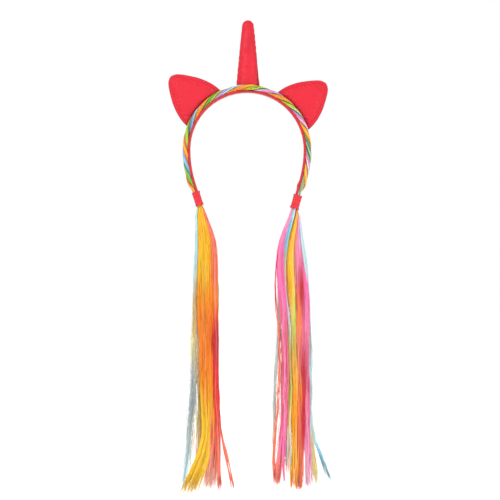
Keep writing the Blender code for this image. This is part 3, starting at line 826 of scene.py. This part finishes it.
threadMaterial, tree, shader = newMaterial("spun_polyester_thread")  # matt, with a twisted ply
threadPlace = addNode(tree, "ShaderNodeTexCoord").outputs["Object"]
ply = addNode(tree, "ShaderNodeTexNoise", None, {"Vector": threadPlace, "Scale": 3000.0})
threadColour = addNode(tree, "ShaderNodeMix", {"data_type": "RGBA"},
                       {"Factor": ply.outputs["Fac"], "A": (*linear("#B01022"), 1),
                        "B": (*linear("#CE1E30"), 1)})
setInputs(tree, shader, {"Base Color": threadColour.outputs["Result"], "Roughness": 0.6})

for one in ear["pieces"]:
    earPiece, line, up, across = makeEar(one)
    makeStitches(one, line, up, across)
    print("stage: ear", one["name"], len(earPiece.data.polygons), "faces")


# Hair: three-sided fibres along curves, with an attribute for each fibre's dye, and in the twist
# its painted shade too
dyes = {
    "gold": "#FFC828", "honey": "#F5B52C", "yellow": "#FED334", "amber": "#FBA51E",
    "orange": "#FD9427", "burnt": "#F98626", "coral": "#FA8066", "coralRed": "#F5503F",
    "red": "#E8352F", "crimson": "#CE2F3A", "rose": "#E6708D", "hotPink": "#FA74B4",
    "pink": "#F893BE", "palePink": "#F9B4CE", "salmon": "#F98F78", "blush": "#FFAD98",
    "peach": "#F8CDB2", "lavender": "#CDB4E0", "violet": "#B596DC", "ice": "#C6E5E8",
    "cyan": "#8CD2E6", "teal": "#7ABCDC", "deepTeal": "#2F8F95", "slate": "#AAB5B6",
    "steel": "#7C9EAC", "ash": "#CDD2CC", "tan": "#DDBE88", "olive": "#C4B44E",
    "bronze": "#B7A678", "lime": "#B4DC2E", "leaf": "#5DB52A", "darkLeaf": "#3C8A1E",
    "white": "#F4F6F2", "straw": "#E9DA86",
}
dyes = {name: np.array(linear(value)) for name, value in dyes.items()}


def fibrePiece(name, paths, radii, tints, material, slotName, *nodes):
    # paths (fibres, points, 3), radii (fibres, points), tints (fibres, points, 3)
    fibres, points = radii.shape
    profile = bpy.data.curves.new("fibreSection", "CURVE")
    profile.dimensions = "2D"
    ring = profile.splines.new("POLY")
    ring.points.add(2)
    for i, target in enumerate(ring.points):
        turn = -i * math.radians(120)
        target.co = (math.cos(turn), math.sin(turn), 0, 1)
    ring.use_cyclic_u = True
    section = inScene("fibreSection", profile)
    curve = bpy.data.curves.new(name, "CURVE")
    curve.dimensions = "3D"
    curve.bevel_mode = "OBJECT"
    curve.bevel_object = section
    for path, radius in zip(paths, radii):
        spline = curve.splines.new("POLY")
        spline.points.add(points - 1)
        spline.points.foreach_set("co", np.column_stack([path, np.ones(points)]).ravel())
        spline.points.foreach_set("radius", radius)
    holder = inScene(name + "Lines", curve)
    mesh = shownMesh(holder)
    mesh.name = name
    bpy.data.objects.remove(holder)
    bpy.data.objects.remove(section)
    work = bmesh.new()
    work.from_mesh(mesh)
    bmesh.ops.holes_fill(work, edges=[edge for edge in work.edges if edge.is_boundary], sides=0)
    bmesh.ops.recalc_face_normals(work, faces=work.faces)
    work.to_mesh(mesh)
    work.free()

    attribute = mesh.color_attributes.new(name="dyeAndShade", type="FLOAT_COLOR", domain="POINT")
    perVertex = np.repeat(tints.reshape(-1, 3), 3, axis=0)
    opaque = np.ones(len(perVertex))
    attribute.data.foreach_set("color", np.column_stack([perVertex, opaque]).ravel())

    # each fibre has its own upright strip of the map that the colours are baked to, so that the
    # dyes do not run together
    index = np.empty(len(mesh.loops), int)
    mesh.loops.foreach_get("vertex_index", index)
    fibre, level, corner = index // (points * 3), index // 3 % points, index % 3
    starts = np.empty(len(mesh.polygons), int)
    totals = np.empty(len(mesh.polygons), int)
    mesh.polygons.foreach_get("loop_start", starts)
    mesh.polygons.foreach_get("loop_total", totals)
    owner = np.repeat(np.arange(len(starts)), totals)
    hasLast = np.zeros(len(starts), bool)
    np.logical_or.at(hasLast, owner, corner == 2)
    hasFirst = np.zeros(len(starts), bool)
    np.logical_or.at(hasFirst, owner, corner == 0)
    wraps = (hasLast & hasFirst)[owner] & (corner == 0) & (totals[owner] == 4)
    rows = max(1, round(math.sqrt(fibres / 14)))
    columns = math.ceil(fibres / rows)
    u = (fibre % columns + 0.15 + 0.7 * (corner + 3 * wraps) / 3) / columns
    v = (fibre // columns + 0.03 + 0.94 * level / (points - 1)) / rows
    layer = mesh.uv_layers.new(name="OFBake")
    layer.uv.foreach_set("vector", np.column_stack([u, v]).ravel())
    return newPiece(name, mesh, material, slotName, *nodes)


def twistCentre(station):
    # how far out and how far forward the twist's middle lies, and how far it is squeezed thin
    end = bow["wrapTop"][-1 if station < 0 else 1]
    squeeze = 1 - (1 - twist["endShare"]) * smooth(
        (abs(station) - end + twist["squeeze"]) / twist["squeeze"])
    resting = -(bow["width"] / 2 + twist["proud"] - twist["half"])
    hornFront = horn["y"] - horn["halfDepth"] * 1.03
    pushed = hornFront - bow["gap"] - twist["half"]
    share = min(abs(station - horn["x"]) / (1.6 * horn["halfWidth"]), 1.0)
    front = resting + min(0.0, pushed - resting) * math.cos(share * math.pi / 2) ** 2
    return bow["thickness"] - twist["sunk"] + twist["half"] * squeeze, front, squeeze


def makeTwist():
    # Each hank is a tight bundle of fibres round a core. It fills a third of the twist's round
    # section, a little sunk where it meets the next.
    left = -(bow["wrapTop"][-1] + twist["inWrap"])
    right = bow["wrapTop"][1] + twist["inWrap"]
    stations = np.linspace(left, right, twist["rings"])
    centres = [twistCentre(station) for station in stations]
    axis = np.array([bowPlace(station, outward, front)[:]
                     for station, (outward, front, squeeze) in zip(stations, centres)])
    normals = np.array([bowFrame(station)[1][:] for station in stations])
    squeezes = np.array([centre[2] for centre in centres])
    turns = math.pi / 2 - 2 * math.pi * (stations - twist["start"]) / twist["pitch"]
    turns += twist["crownTurn"] * bell(stations, twist["crownLength"])
    rng = np.random.default_rng(11)
    for strand in twist["strands"]:
        hanks = [names.split() for names in strand["dyes"]]
        paths, radii, tints = [], [], []
        layers = [(0, share) for share in np.linspace(-0.97, 0.97, twist["outer"])]
        layers += [(1, share) for share in np.linspace(-0.85, 0.85, twist["inner"])]
        swell = rng.uniform(0, 6.28)
        for layer, share in layers + [(2, 0.0)]:
            wobble = rng.uniform(0, 6.28, 4)
            lay = share * math.pi / 3 + 0.045 * np.sin(stations / (12 * mm) + wobble[0])
            lay += 0.02 * np.sin(stations / (4.3 * mm) + wobble[1])
            angle = turns + 2 * math.pi * strand["place"] + lay
            reach = twist["half"] * (1.0 - twist["groove"] * abs(share) ** 2.2) - twist["fibre"]
            reach -= (0, twist["fibre"] * 1.9, twist["half"] * 0.47)[layer]  # outer, inner, core
            reach = reach * squeezes * (1 + 0.022 * np.sin(stations / (7 * mm) + wobble[2])
                                        + 0.045 * np.sin(stations / (5.3 * mm) + swell))
            path = (axis + normals * (reach * np.cos(angle))[:, None]
                    - np.outer(reach * np.sin(angle), (0, 1, 0)))
            paths.append(path)
            isCore = layer == 2
            thick = (twist["half"] * twist["core"] if isCore
                     else twist["fibre"] * rng.uniform(0.9, 1.25))
            radii.append(thick * (0.4 + 0.6 * squeezes))
            # neighbouring fibres share a dye, in bands of uneven width across the hank
            pick = int(np.searchsorted(twist["bands"], share + rng.uniform(-0.12, 0.12)))
            pick = strand["order"][pick]
            if rng.uniform() < twist["strays"]:
                pick = int(rng.integers(0, 4))
            keys = np.array([dyes[names[pick]] for names in hanks])
            keysAt = np.array(twist["stations"]) * mm + rng.uniform(-4, 4) * mm
            tint = np.stack([np.interp(stations, keysAt, keys[:, c]) for c in range(3)], axis=1)
            # painted shade where the hank turns under the next one, and darker still on the hidden
            # core
            lit = 1 - twist["edgeShade"][0] * abs(share) ** twist["edgeShade"][1]
            tints.append(tint * lit * (0.7 if isCore else rng.uniform(0.82, 1.02)))
        fibrePiece("twistHair" + strand["name"], np.array(paths), np.array(radii),
                   np.clip(np.array(tints), 0, 1), twistMaterial, strand["slot"], strand["node"])


twistMaterial = hairMaterial("heat_set_polyester_hair_twisted", 0.36)
makeTwist()
print("stage: twist")

# Tails. Each lock is given at fixed drops below the wrap: its middle and half width in mm from the
# tail's plumb line, and its dye there, where gold*4 is four in a row. Layers run from -1 in front
# to 1 behind. A mixed lock's fibres have one dye each.
tail = {
    "points": 23, "crowd": 1.4, "fibre": 0.155 * mm, "depthAt": (0, 30, 100, 250, 300),
    "depth": (3.6, 4.2, 4.8, 5.2, 5.8), "inside": 4.2 * mm, "perWisp": 22, "grown": 300,
    "gather": (0.25, 0.66), "longWave": (60, 110), "shortWave": (22, 38),
    "sway": 0.95, "waver": 0.27, "scatter": 0.25, "nod": 0.35, "held": {-1: 5.6, 1: 6.6},
    "outlying": (0.09, 1.55), "bleached": 0.04, "taper": ((0, 0.8, 0.94, 1), (1, 0.95, 0.75, 0.3)),
}
tails = {
    "Left": {
        "side": -1, "plumb": -43.9 * mm, "node": "hair_tail_left", "slot": "orange_tail_hair",
        "drops": (1.5, 14, 29, 44.5, 69, 95, 119, 142, 168.5, 195, 221, 242, 263, 281, 297.5),
        "locks": (
            {"piece": "Mist", "count": 80, "layer": 0.3, "deep": 0.5, "length": 298, "ragged": 9,
             "loose": 1.1, "wisps": 14,
             "middle": (-9.3, -9.2, -9.0, -9.0, -10.1, -11.3, -11.5, -11.5, -12.2, -13.2, -15.3,
                        -16.8, -18.7, -21.2, -24.4),
             "half": (1.0, 1.6, 1.8, 1.9, 2.3, 2.7, 2.8, 3.2, 4.2, 5.0, 4.8, 4.2, 3.6, 3.2, 3.2),
             "dyes": "ice*5 tan*2 straw ash slate*2 ash ice*3"},
            {"piece": "Gold", "count": 600, "layer": -0.35, "deep": 0.65, "length": 302,
             "ragged": 6,
             "middle": (-5.1, -3.4, -1.8, -1.0, -1.0, -1.0, -1.0, -0.8, -0.2, 1.4, 2.5, 1.5, -2.1,
                        -8.6, -17.0),
             "half": (2.7, 4.2, 5.5, 6.3, 6.7, 6.9, 6.9, 6.7, 6.3, 5.7, 5.3, 5.7, 7.4, 8.8, 9.8),
             "dyes": "gold*4 yellow amber orange*3 amber yellow*4 gold"},
            {"piece": "Orange", "count": 430, "layer": 0.0, "deep": 0.6, "length": 299, "ragged": 9,
             "wisps": 34,
             "middle": (-3.6, -0.6, 2.9, 5.0, 5.7, 6.5, 5.7, 5.3, 5.7, 7.1, 8.8, 8.8, 8.4, 6.5,
                        3.4),
             "half": (1.7, 2.7, 4.0, 4.6, 4.8, 4.8, 4.8, 4.8, 4.6, 4.4, 4.2, 4.8, 5.9, 6.6, 7.0),
             "dyes": "gold*4 amber*2 burnt*3 amber gold coral salmon blush peach"},
            {"piece": "Coral", "count": 290, "layer": -0.1, "deep": 0.5, "length": 298, "ragged": 5,
             "middle": (-2.3, 1.1, 6.6, 8.9, 9.4, 10.5, 10.5, 10.3, 10.7, 11.1, 11.6, 12.6, 13.9,
                        14.5, 15.1),
             "half": (0.8, 1.6, 2.9, 3.6, 3.6, 2.9, 2.9, 3.2, 2.9, 2.7, 2.7, 2.7, 2.5, 2.3, 2.3),
             "dyes": "red coral*4 orange red crimson red*2 coralRed coral*4"},
            {"piece": "Veil", "count": 26, "layer": 0.9, "deep": 0.4, "length": 296, "ragged": 16,
             "mixed": True, "loose": 2.6,
             "middle": (-5.1, -4.2, -1.0, 0.3, 0.4, 0.1, 0.1, 0.1, 0.1, 0.1, 0.0, 0.1, 0.0, 0.0,
                        0.0),
             "half": (3.2, 5.6, 9.6, 12.2, 13.6, 14.8, 15.2, 15.6, 16.0, 17.0, 18.0, 20.0, 22.0,
                      24.0, 25.0),
             "dyes": "gold coral salmon pink straw slate ash crimson"},
            {"piece": "Lime", "count": 60, "layer": 0.75, "deep": 0.2, "length": 240, "ragged": 20,
             "middle": (-2.3, 0.5, 5.0, 9.5, 12.2, 13.4, 13.2, 12.2, 11.6, 11.0, 10.5, 10.5, 10.5,
                        10.5, 10.5),
             "half": (0.6, 0.8, 1.0, 1.0, 1.0, 1.0, 1.0, 1.0, 1.0, 1.0, 1.0, 1.0, 1.0, 1.0, 1.0),
             "dyes": "coral*3 lime*2 leaf lime olive coral*7"},
            {"piece": "Coral", "count": 150, "layer": 0.55, "deep": 0.3, "length": 296, "ragged": 4,
             "middle": (-2.3, 0.8, 6.6, 9.2, 10.3, 11.3, 11.3, 11.3, 11.6, 12.4, 13.7, 16.2, 21.0,
                        24.6, 28.4),
             "half": (0.8, 1.3, 1.9, 2.1, 2.3, 2.3, 2.3, 2.3, 2.1, 1.9, 1.7, 1.9, 2.4, 3.1, 4.0),
             "dyes": "red coral*5 red crimson*2 red coralRed coral*3 salmon"},
            {"piece": "Mist", "count": 70, "layer": 0.6, "deep": 0.4, "length": 286, "ragged": 14,
             "wisps": 22, "loose": 0.6,
             "middle": (-8.1, -7.6, -7.0, -7.0, -8.1, -9.1, -9.7, -9.7, -9.2, -8.6, -9.0, -10.1,
                        -11.1, -11.3, -11.1),
             "half": (1.3, 1.9, 2.3, 2.5, 2.9, 3.6, 3.6, 3.6, 5.0, 6.2, 6.6, 6.8, 6.8, 6.8, 6.7),
             "dyes": "ice gold*4 tan ash*2 tan bronze olive tan peach ash peach"},
            {"piece": "Veil", "count": 150, "layer": 0.7, "deep": 0.3, "length": 288, "ragged": 14,
             "mixed": True,
             "middle": (-5.1, -4.2, -1.0, 0.3, 0.4, 0.1, 0.1, 0.1, 0.1, 0.1, 0.0, 0.1, -1.0, -2.5,
                        -3.5),
             "half": (3.2, 5.6, 9.6, 11.2, 12.2, 12.6, 12.6, 12.6, 12.4, 12.0, 12.4, 13.2, 15.0,
                      17.0, 19.0),
             "dyes": "gold amber orange peach coral salmon straw yellow orange gold"},
        ),
    },
    "Right": {
        "side": 1, "plumb": 47.8 * mm, "node": "hair_tail_right", "slot": "pink_tail_hair",
        "drops": (1.5, 12, 25, 40, 56, 77, 96, 119, 143, 170, 196, 222, 248, 271, 293),
        "locks": (
            {"piece": "Pink", "count": 400, "layer": -0.2, "deep": 0.6, "length": 292, "ragged": 6,
             "middle": (0.5, -2.6, -7.5, -12.1, -13.2, -11.7, -9.4, -8.3, -7.9, -7.5, -7.3, -8.1,
                        -11.1, -14.2, -16.8),
             "half": (1.1, 1.9, 3.2, 3.6, 4.2, 4.6, 4.2, 4.0, 4.0, 4.0, 4.0, 4.0, 3.6, 3.6, 3.8),
             "dyes": "pink*3 hotPink*4 rose*5 hotPink salmon coral"},
            {"piece": "Pink", "count": 90, "layer": -0.5, "deep": 0.3, "length": 290, "ragged": 4,
             "middle": (0.5, -2.6, -7.5, -12.1, -13.2, -11.7, -9.4, -8.3, -7.9, -7.5, -7.3, -7.6,
                        -8.6, -8.9, -8.9),
             "half": (0.6, 1.0, 1.5, 1.8, 2.0, 2.0, 2.0, 2.0, 2.0, 2.0, 2.0, 2.0, 2.0, 1.8, 1.8),
             "dyes": "pink*12 hotPink*3"},
            {"piece": "Teal", "count": 150, "deep": 0.45, "length": 276, "ragged": 18,
             "layer": (-1.0, -1.0, -1.0, -0.6, 0.0, 0.3, 0.3, 0.3, 0.2, 0.2, 0.2, 0.2, 0.2, 0.2,
                       0.2),
             "middle": (3.0, -0.1, -4.3, -7.3, -8.7, -8.9, -6.8, -4.6, -3.6, -3.2, -3.0, -3.0, -3.6,
                        -4.0, -4.0),
             "half": (1.3, 2.1, 2.7, 2.5, 2.5, 2.7, 2.9, 3.2, 3.4, 3.4, 3.4, 3.4, 3.4, 3.6, 3.6),
             "dyes": "ice cyan teal*2 tan ash lavender ash olive*3 straw ash*3"},
            {"piece": "Gold", "count": 400, "layer": -0.1, "deep": 0.6, "length": 296, "ragged": 5,
             "middle": (5.3, 4.1, 1.1, -2.2, -2.4, -1.2, 0.3, 1.2, 2.0, 2.6, 3.2, 3.4, 2.8, 2.2,
                        2.0),
             "half": (1.3, 2.1, 3.4, 4.2, 4.0, 3.6, 3.2, 2.9, 2.6, 2.8, 3.2, 3.5, 3.8, 4.0, 4.0),
             "dyes": "orange honey*3 gold honey*2 straw olive amber*3 honey*2 amber"},
            {"piece": "Gold", "count": 70, "layer": -0.55, "deep": 0.3, "length": 232, "ragged": 30,
             "wisps": 12,
             "middle": (5.3, 4.1, 1.1, -2.2, -2.4, -0.6, 1.0, 2.0, 2.3, 2.3, 2.6, 3.2, 2.8, 2.2,
                        2.0),
             "half": (0.6, 0.8, 1.0, 1.2, 1.2, 1.3, 1.4, 1.5, 1.5, 1.3, 1.1, 1.0, 1.0, 1.0, 1.0),
             "dyes": "gold*4 yellow*2 lime*2 leaf olive amber*2 gold*3"},
            {"piece": "Salmon", "count": 330, "layer": 0.05, "deep": 0.6, "length": 297,
             "ragged": 5,
             "middle": (6.4, 6.2, 4.9, 5.1, 5.8, 6.8, 7.2, 7.2, 7.2, 7.5, 7.5, 7.9, 7.7, 7.2, 7.2),
             "half": (0.9, 1.5, 2.1, 2.5, 2.7, 3.2, 3.6, 3.8, 3.8, 3.6, 3.6, 3.6, 3.4, 3.4, 3.6),
             "dyes": "orange salmon*2 pink*2 rose coral orange salmon*2 orange coral*2 orange "
                     "coral"},
            {"piece": "Crimson", "count": 140, "layer": -0.65, "deep": 0.3, "length": 294,
             "ragged": 6,
             "middle": (6.8, 6.6, 6.3, 7.3, 8.7, 9.4, 10.0, 10.4, 10.6, 10.8, 10.8, 11.0, 10.4, 9.7,
                        9.5),
             "half": (0.6, 0.8, 1.1, 1.3, 1.6, 1.9, 1.7, 1.7, 2.0, 2.5, 2.6, 2.5, 2.1, 1.7, 1.7),
             "dyes": "pink*2 lavender palePink rose crimson*2 rose*2 crimson*4 coral*2"},
            {"piece": "PinkEdge", "count": 320, "layer": 0.0, "deep": 0.6, "length": 294,
             "ragged": 5,
             "middle": (7.4, 7.2, 7.2, 8.7, 11.0, 13.1, 14.2, 14.6, 14.8, 15.2, 15.0, 14.8, 15.8,
                        16.5, 16.9),
             "half": (0.6, 0.8, 1.3, 1.9, 2.9, 3.4, 3.4, 3.2, 2.9, 2.9, 2.9, 2.9, 3.6, 4.2, 4.8),
             "dyes": "orange lavender*2 pink hotPink*3 pink rose*3 pink*2 palePink*2"},
            {"piece": "Ice", "count": 140, "deep": 0.4, "length": 292, "ragged": 8, "loose": 0.6,
             "wisps": 16,
             "layer": (-0.9, -0.9, -0.9, -0.7, -0.5, 0.2, 0.5, 0.5, 0.5, 0.5, 0.5, 0.5, 0.5, 0.5,
                       0.5),
             "middle": (7.2, 7.6, 8.5, 10.4, 12.9, 15.2, 15.8, 16.3, 17.3, 18.4, 18.4, 18.4, 19.9,
                        22.6, 25.7),
             "half": (0.6, 0.8, 1.2, 2.2, 2.6, 2.2, 2.2, 2.4, 2.5, 2.6, 2.4, 2.2, 2.4, 2.8, 3.2),
             "dyes": "ice lavender ice*4 ash slate*2 ice*3 tan straw*2"},
            {"piece": "Veil", "count": 34, "layer": 0.9, "deep": 0.4, "length": 292, "ragged": 16,
             "mixed": True, "loose": 2.8,
             "middle": (3.0, 1.6, 0.2, -0.8, -1.2, -0.6, -0.2, 0.3, 0.4, 0.5, 0.4, 0.2, 0.4, 0.6,
                        0.8),
             "half": (3.2, 5.4, 9.0, 13.0, 16.0, 17.0, 18.0, 18.6, 19.4, 20.0, 20.6, 21.0, 22.0,
                      24.0, 25.0),
             "dyes": "pink coral ice straw slate ash gold palePink"},
            {"piece": "Slate", "count": 150, "layer": 0.7, "deep": 0.25, "length": 287, "ragged": 7,
             "wisps": 12,
             "middle": (7.2, 7.6, 8.5, 10.4, 12.5, 14.6, 15.2, 15.8, 16.8, 17.3, 17.8, 18.4, 24.1,
                        33.6, 41.2),
             "half": (0.5, 0.7, 0.9, 1.2, 1.3, 1.3, 1.3, 1.3, 1.3, 1.3, 1.3, 1.6, 2.0, 2.4, 2.7),
             "dyes": "ice*6 slate*4 ice*2 cyan steel*2"},
            {"piece": "Crimson", "count": 50, "layer": -0.3, "deep": 0.3, "length": 290,
             "ragged": 5,
             "middle": (0.1, -4.1, -10.0, -14.8, -16.9, -18.2, -18.0, -15.6, -13.5, -13.5, -14.8,
                        -16.7, -18.8, -20.1, -18.6),
             "half": (0.5, 0.7, 0.8, 0.8, 0.7, 0.5, 0.5, 0.5, 0.6, 0.7, 0.8, 0.8, 0.9, 1.2, 1.8),
             "dyes": "pink*3 rose crimson*3 coral*8"},
            {"piece": "Teal", "count": 80, "layer": 0.6, "deep": 0.4, "length": 280, "ragged": 16,
             "middle": (0.5, -3.0, -7.9, -12.1, -13.5, -13.5, -13.1, -13.1, -14.6, -16.7, -18.2,
                        -18.8, -19.4, -18.4, -16.3),
             "half": (0.8, 1.3, 1.7, 2.1, 2.7, 3.2, 3.2, 3.2, 3.2, 3.2, 3.0, 2.8, 2.6, 2.6, 2.6),
             "dyes": "ice*2 peach*4 ash*6 peach*3"},
            {"piece": "Veil", "count": 190, "layer": 0.6, "deep": 0.4, "length": 286, "ragged": 14,
             "mixed": True,
             "middle": (3.0, 1.6, 0.2, -0.8, -1.2, -0.6, -0.2, 0.3, 0.4, 0.5, 0.4, 0.2, 0.4, 0.6,
                        0.8),
             "half": (3.2, 5.4, 8.6, 12.0, 14.4, 15.6, 16.4, 16.8, 17.4, 18.4, 18.6, 18.8, 20.0,
                      21.0, 21.0),
             "dyes": "pink gold salmon peach palePink rose straw yellow coral orange"},
        ),
    },
}


def lockLines(lock, one, rng):
    # the paths, radii and dyes of one lock's fibres
    count, points = lock["count"], tail["points"]
    side = one["side"]
    length = lock["length"] - rng.gamma(1.6, lock["ragged"] / 2.0, count)
    share = np.linspace(0, 1, points) ** tail["crowd"]
    clumps = lock.get("wisps", max(4, count // tail["perWisp"]))
    clump = rng.integers(0, clumps, count)
    length -= rng.uniform(-2.0, 3.5, clumps)[clump]
    drop = share[None, :] * length[:, None]
    angle, reach = rng.uniform(0, 2 * math.pi, clumps), np.sqrt(rng.uniform(0, 1, clumps))
    centre = np.stack([reach * np.cos(angle), reach * np.sin(angle)], axis=1)[clump]
    turn, far = rng.uniform(0, 2 * math.pi, count), np.sqrt(rng.uniform(0, 1, count))
    far *= np.where(rng.uniform(0, 1, count) < tail["outlying"][0], tail["outlying"][1], 1.0)
    own = np.stack([far * np.cos(turn), far * np.sin(turn)], axis=1)
    # fibres lie evenly at the root and draw together into wisps towards the tips
    atRoot, added = tail["gather"]
    gather = (atRoot + added * (drop / tail["grown"]) ** 1.3)[:, :, None]
    spread = own[:, None, :] * (1 - gather) * 0.75 + centre[:, None, :] * (0.35 + 0.65 * gather)
    keys = np.array(one["drops"])

    def along(values, window=9.0):
        spans = np.linspace(-window, window, 5)
        return np.mean([np.interp(drop + span, keys, values) for span in spans], axis=0)

    wave = rng.uniform(0, 6.28, (clumps, 4))[clump]
    long = rng.uniform(*tail["longWave"], clumps)[clump]
    short = rng.uniform(*tail["shortWave"], clumps)[clump]
    stray = np.clip(drop / 160, 0, 1)
    sway = tail["sway"] * stray * np.sin(drop / long[:, None] * 6.28 + wave[:, :1])
    sway += tail["waver"] * stray * np.sin(drop / short[:, None] * 6.28 + wave[:, 1:2])
    sway += tail["scatter"] * stray * rng.normal(0, 1, (count, 1)) * (drop / tail["grown"])
    loose = rng.uniform(0, 6.28, (count, 1))
    sway += lock.get("loose", 0) * stray * np.sin(drop / (52 + 9 * loose) * 6.28 + loose * 7)
    middle, half = along(lock["middle"]), along(lock["half"])
    x = one["plumb"] / mm + middle + spread[:, :, 0] * half + sway
    halfDepth = np.interp(drop, tail["depthAt"], tail["depth"])
    layer = along(lock["layer"]) if isinstance(lock["layer"], tuple) else lock["layer"]
    y = halfDepth * (layer * (1 - lock["deep"]) + lock["deep"] * spread[:, :, 1])
    y += tail["nod"] * stray * np.sin(drop / long[:, None] * 6.28 + wave[:, 2:3])
    wrapEnd = bowPlace(side * (bow["wrapTop"][side] + wrap["length"]), 3.0 * mm, 0)
    z = wrapEnd.z / mm - drop
    paths = np.stack([x, y, z], axis=2)

    # the root runs back up into the wrap along the leg
    lean = math.radians(bow["sweep"][side])
    up = np.array([side * math.sin(lean), 0, math.cos(lean)])
    point, outward, _ = bowFrame(side * (bow["wrapTop"][side] + wrap["length"]))
    for level in range(2):
        away = (paths[:, level] - np.array(point[:]) / mm) @ np.array(outward[:])
        held = np.clip(away, 0.3, tail["held"][side])
        ease = 1.0 if level == 0 else 0.6
        paths[:, level] += np.outer((held - away) * ease, outward[:])
    root = paths[:, :1] + up * tail["inside"] / mm
    root[:, :, 1] *= 0.9
    paths = np.concatenate([root, paths], axis=1)
    drop = np.concatenate([drop[:, :1], drop], axis=1)

    names = []
    for word in lock["dyes"].split():
        name, _, times = word.partition("*")
        names += [name] * int(times or 1)
    tone = np.array([dyes[name] for name in names])
    shift = rng.normal(0, 10, (count, 1))
    if lock.get("mixed"):
        tints = np.repeat(tone[rng.integers(0, len(tone), count)][:, None], points + 1, axis=1)
    else:
        tints = np.stack([np.interp(drop + shift, keys, tone[:, c]) for c in range(3)], axis=2)
    level = rng.uniform(0.92, 1.08, clumps)[clump] * rng.uniform(0.90, 1.09, count)
    tints *= level[:, None, None]
    pale = (rng.uniform(0, 1, count) < tail["bleached"])[:, None, None]
    tints = np.where(pale, tints * 0.65 + 0.30, tints)
    thick = tail["fibre"] * rng.uniform(0.8, 1.15, count)
    radii = thick[:, None] * np.interp(drop / length[:, None], *tail["taper"])
    return paths * mm, radii, np.clip(tints, 0, 1)


tailMaterial = hairMaterial("heat_set_polyester_hair_loose", 0.40)
for name, one in tails.items():
    rng = np.random.default_rng(7 if one["side"] < 0 else 23)
    made = {}
    for lock in one["locks"]:
        made.setdefault(lock["piece"], []).append(lockLines(lock, one, rng))
    for piece, bundles in made.items():
        paths, radii, tints = (np.concatenate(parts) for parts in zip(*bundles))
        fibrePiece(f"hair{name}{piece}", paths, radii, tints, tailMaterial, one["slot"],
                   one["node"])
    print("stage: tail", name, sum(lock["count"] for lock in one["locks"]), "fibres")

# Studio
studio = {"floorZ": -0.46, "distance": 1.6, "aim": (3.15 * mm, 0, -165.1 * mm),
          "frameWidth": 0.525, "sensor": 36, "lit": (0, 0, -0.15),
          "world": 1.04, "key": 17.5, "fill": 10.5}

work = bmesh.new()
bmesh.ops.create_grid(work, x_segments=8, y_segments=8, size=8.0)
bmesh.ops.translate(work, verts=work.verts, vec=(0, 0, studio["floorZ"]))
floor = inScene("studioFloor", meshFrom("studioFloor", work))
floorMaterial, tree, shader = newMaterial("matt_white_paper")  # seamless paper, hardly any gloss
paperPlace = addNode(tree, "ShaderNodeTexCoord").outputs["Object"]
paper = addNode(tree, "ShaderNodeTexNoise", None, {"Vector": paperPlace, "Scale": 40.0})
paperTone = addNode(tree, "ShaderNodeMix", {"data_type": "RGBA"},
                    {"Factor": paper.outputs["Fac"], "A": (0.975, 0.975, 0.975, 1),
                     "B": (0.99, 0.99, 0.99, 1)})
setInputs(tree, shader, {"Base Color": paperTone.outputs["Result"], "Roughness": 0.9})
floor.data.materials.append(floorMaterial)

world = bpy.data.worlds.new("studio")
bpy.context.scene.world = world
world.use_nodes = True
tree = world.node_tree
tree.nodes.clear()
rays = addNode(tree, "ShaderNodeLightPath")
strength = addNode(tree, "ShaderNodeMix", {"data_type": "FLOAT"},
                   {"Factor": rays.outputs["Is Camera Ray"], "A": studio["world"], "B": 1.0})
sky = addNode(tree, "ShaderNodeBackground", None,
              {"Color": (1, 1, 1, 1), "Strength": strength.outputs["Result"]})
worldOut = addNode(tree, "ShaderNodeOutputWorld")
tree.links.new(sky.outputs["Background"], worldOut.inputs["Surface"])


def softLight(name, place, size, power):
    lamp = bpy.data.lights.new(name, "AREA")
    lamp.shape = "SQUARE"
    lamp.size = size
    lamp.energy = power
    holder = inScene(name, lamp)
    holder.location = place
    towards = Vector(studio["lit"]) - Vector(place)
    holder.rotation_euler = towards.to_track_quat("-Z", "Y").to_euler()


softLight("keyLight", (-0.9, -1.5, 0.7), 1.0, studio["key"])
softLight("fillLight", (1.1, -1.3, 0.2), 1.2, studio["fill"])
softLight("backLight", (0.2, 1.6, 0.8), 1.2, studio["fill"])

camera = inScene("camera", bpy.data.cameras.new("camera"))
aim = Vector(studio["aim"])
camera.location = aim + Vector((0, -studio["distance"], 0))
camera.rotation_euler = (math.pi / 2, 0, 0)
camera.data.sensor_width = studio["sensor"]
camera.data.lens = studio["sensor"] * studio["distance"] / studio["frameWidth"]
camera.data.clip_start, camera.data.clip_end = 0.05, 50
bpy.context.scene.camera = camera
bpy.context.scene.view_settings.view_transform = "Standard"
bpy.context.scene.view_settings.look = "None"
print("stage: studio")
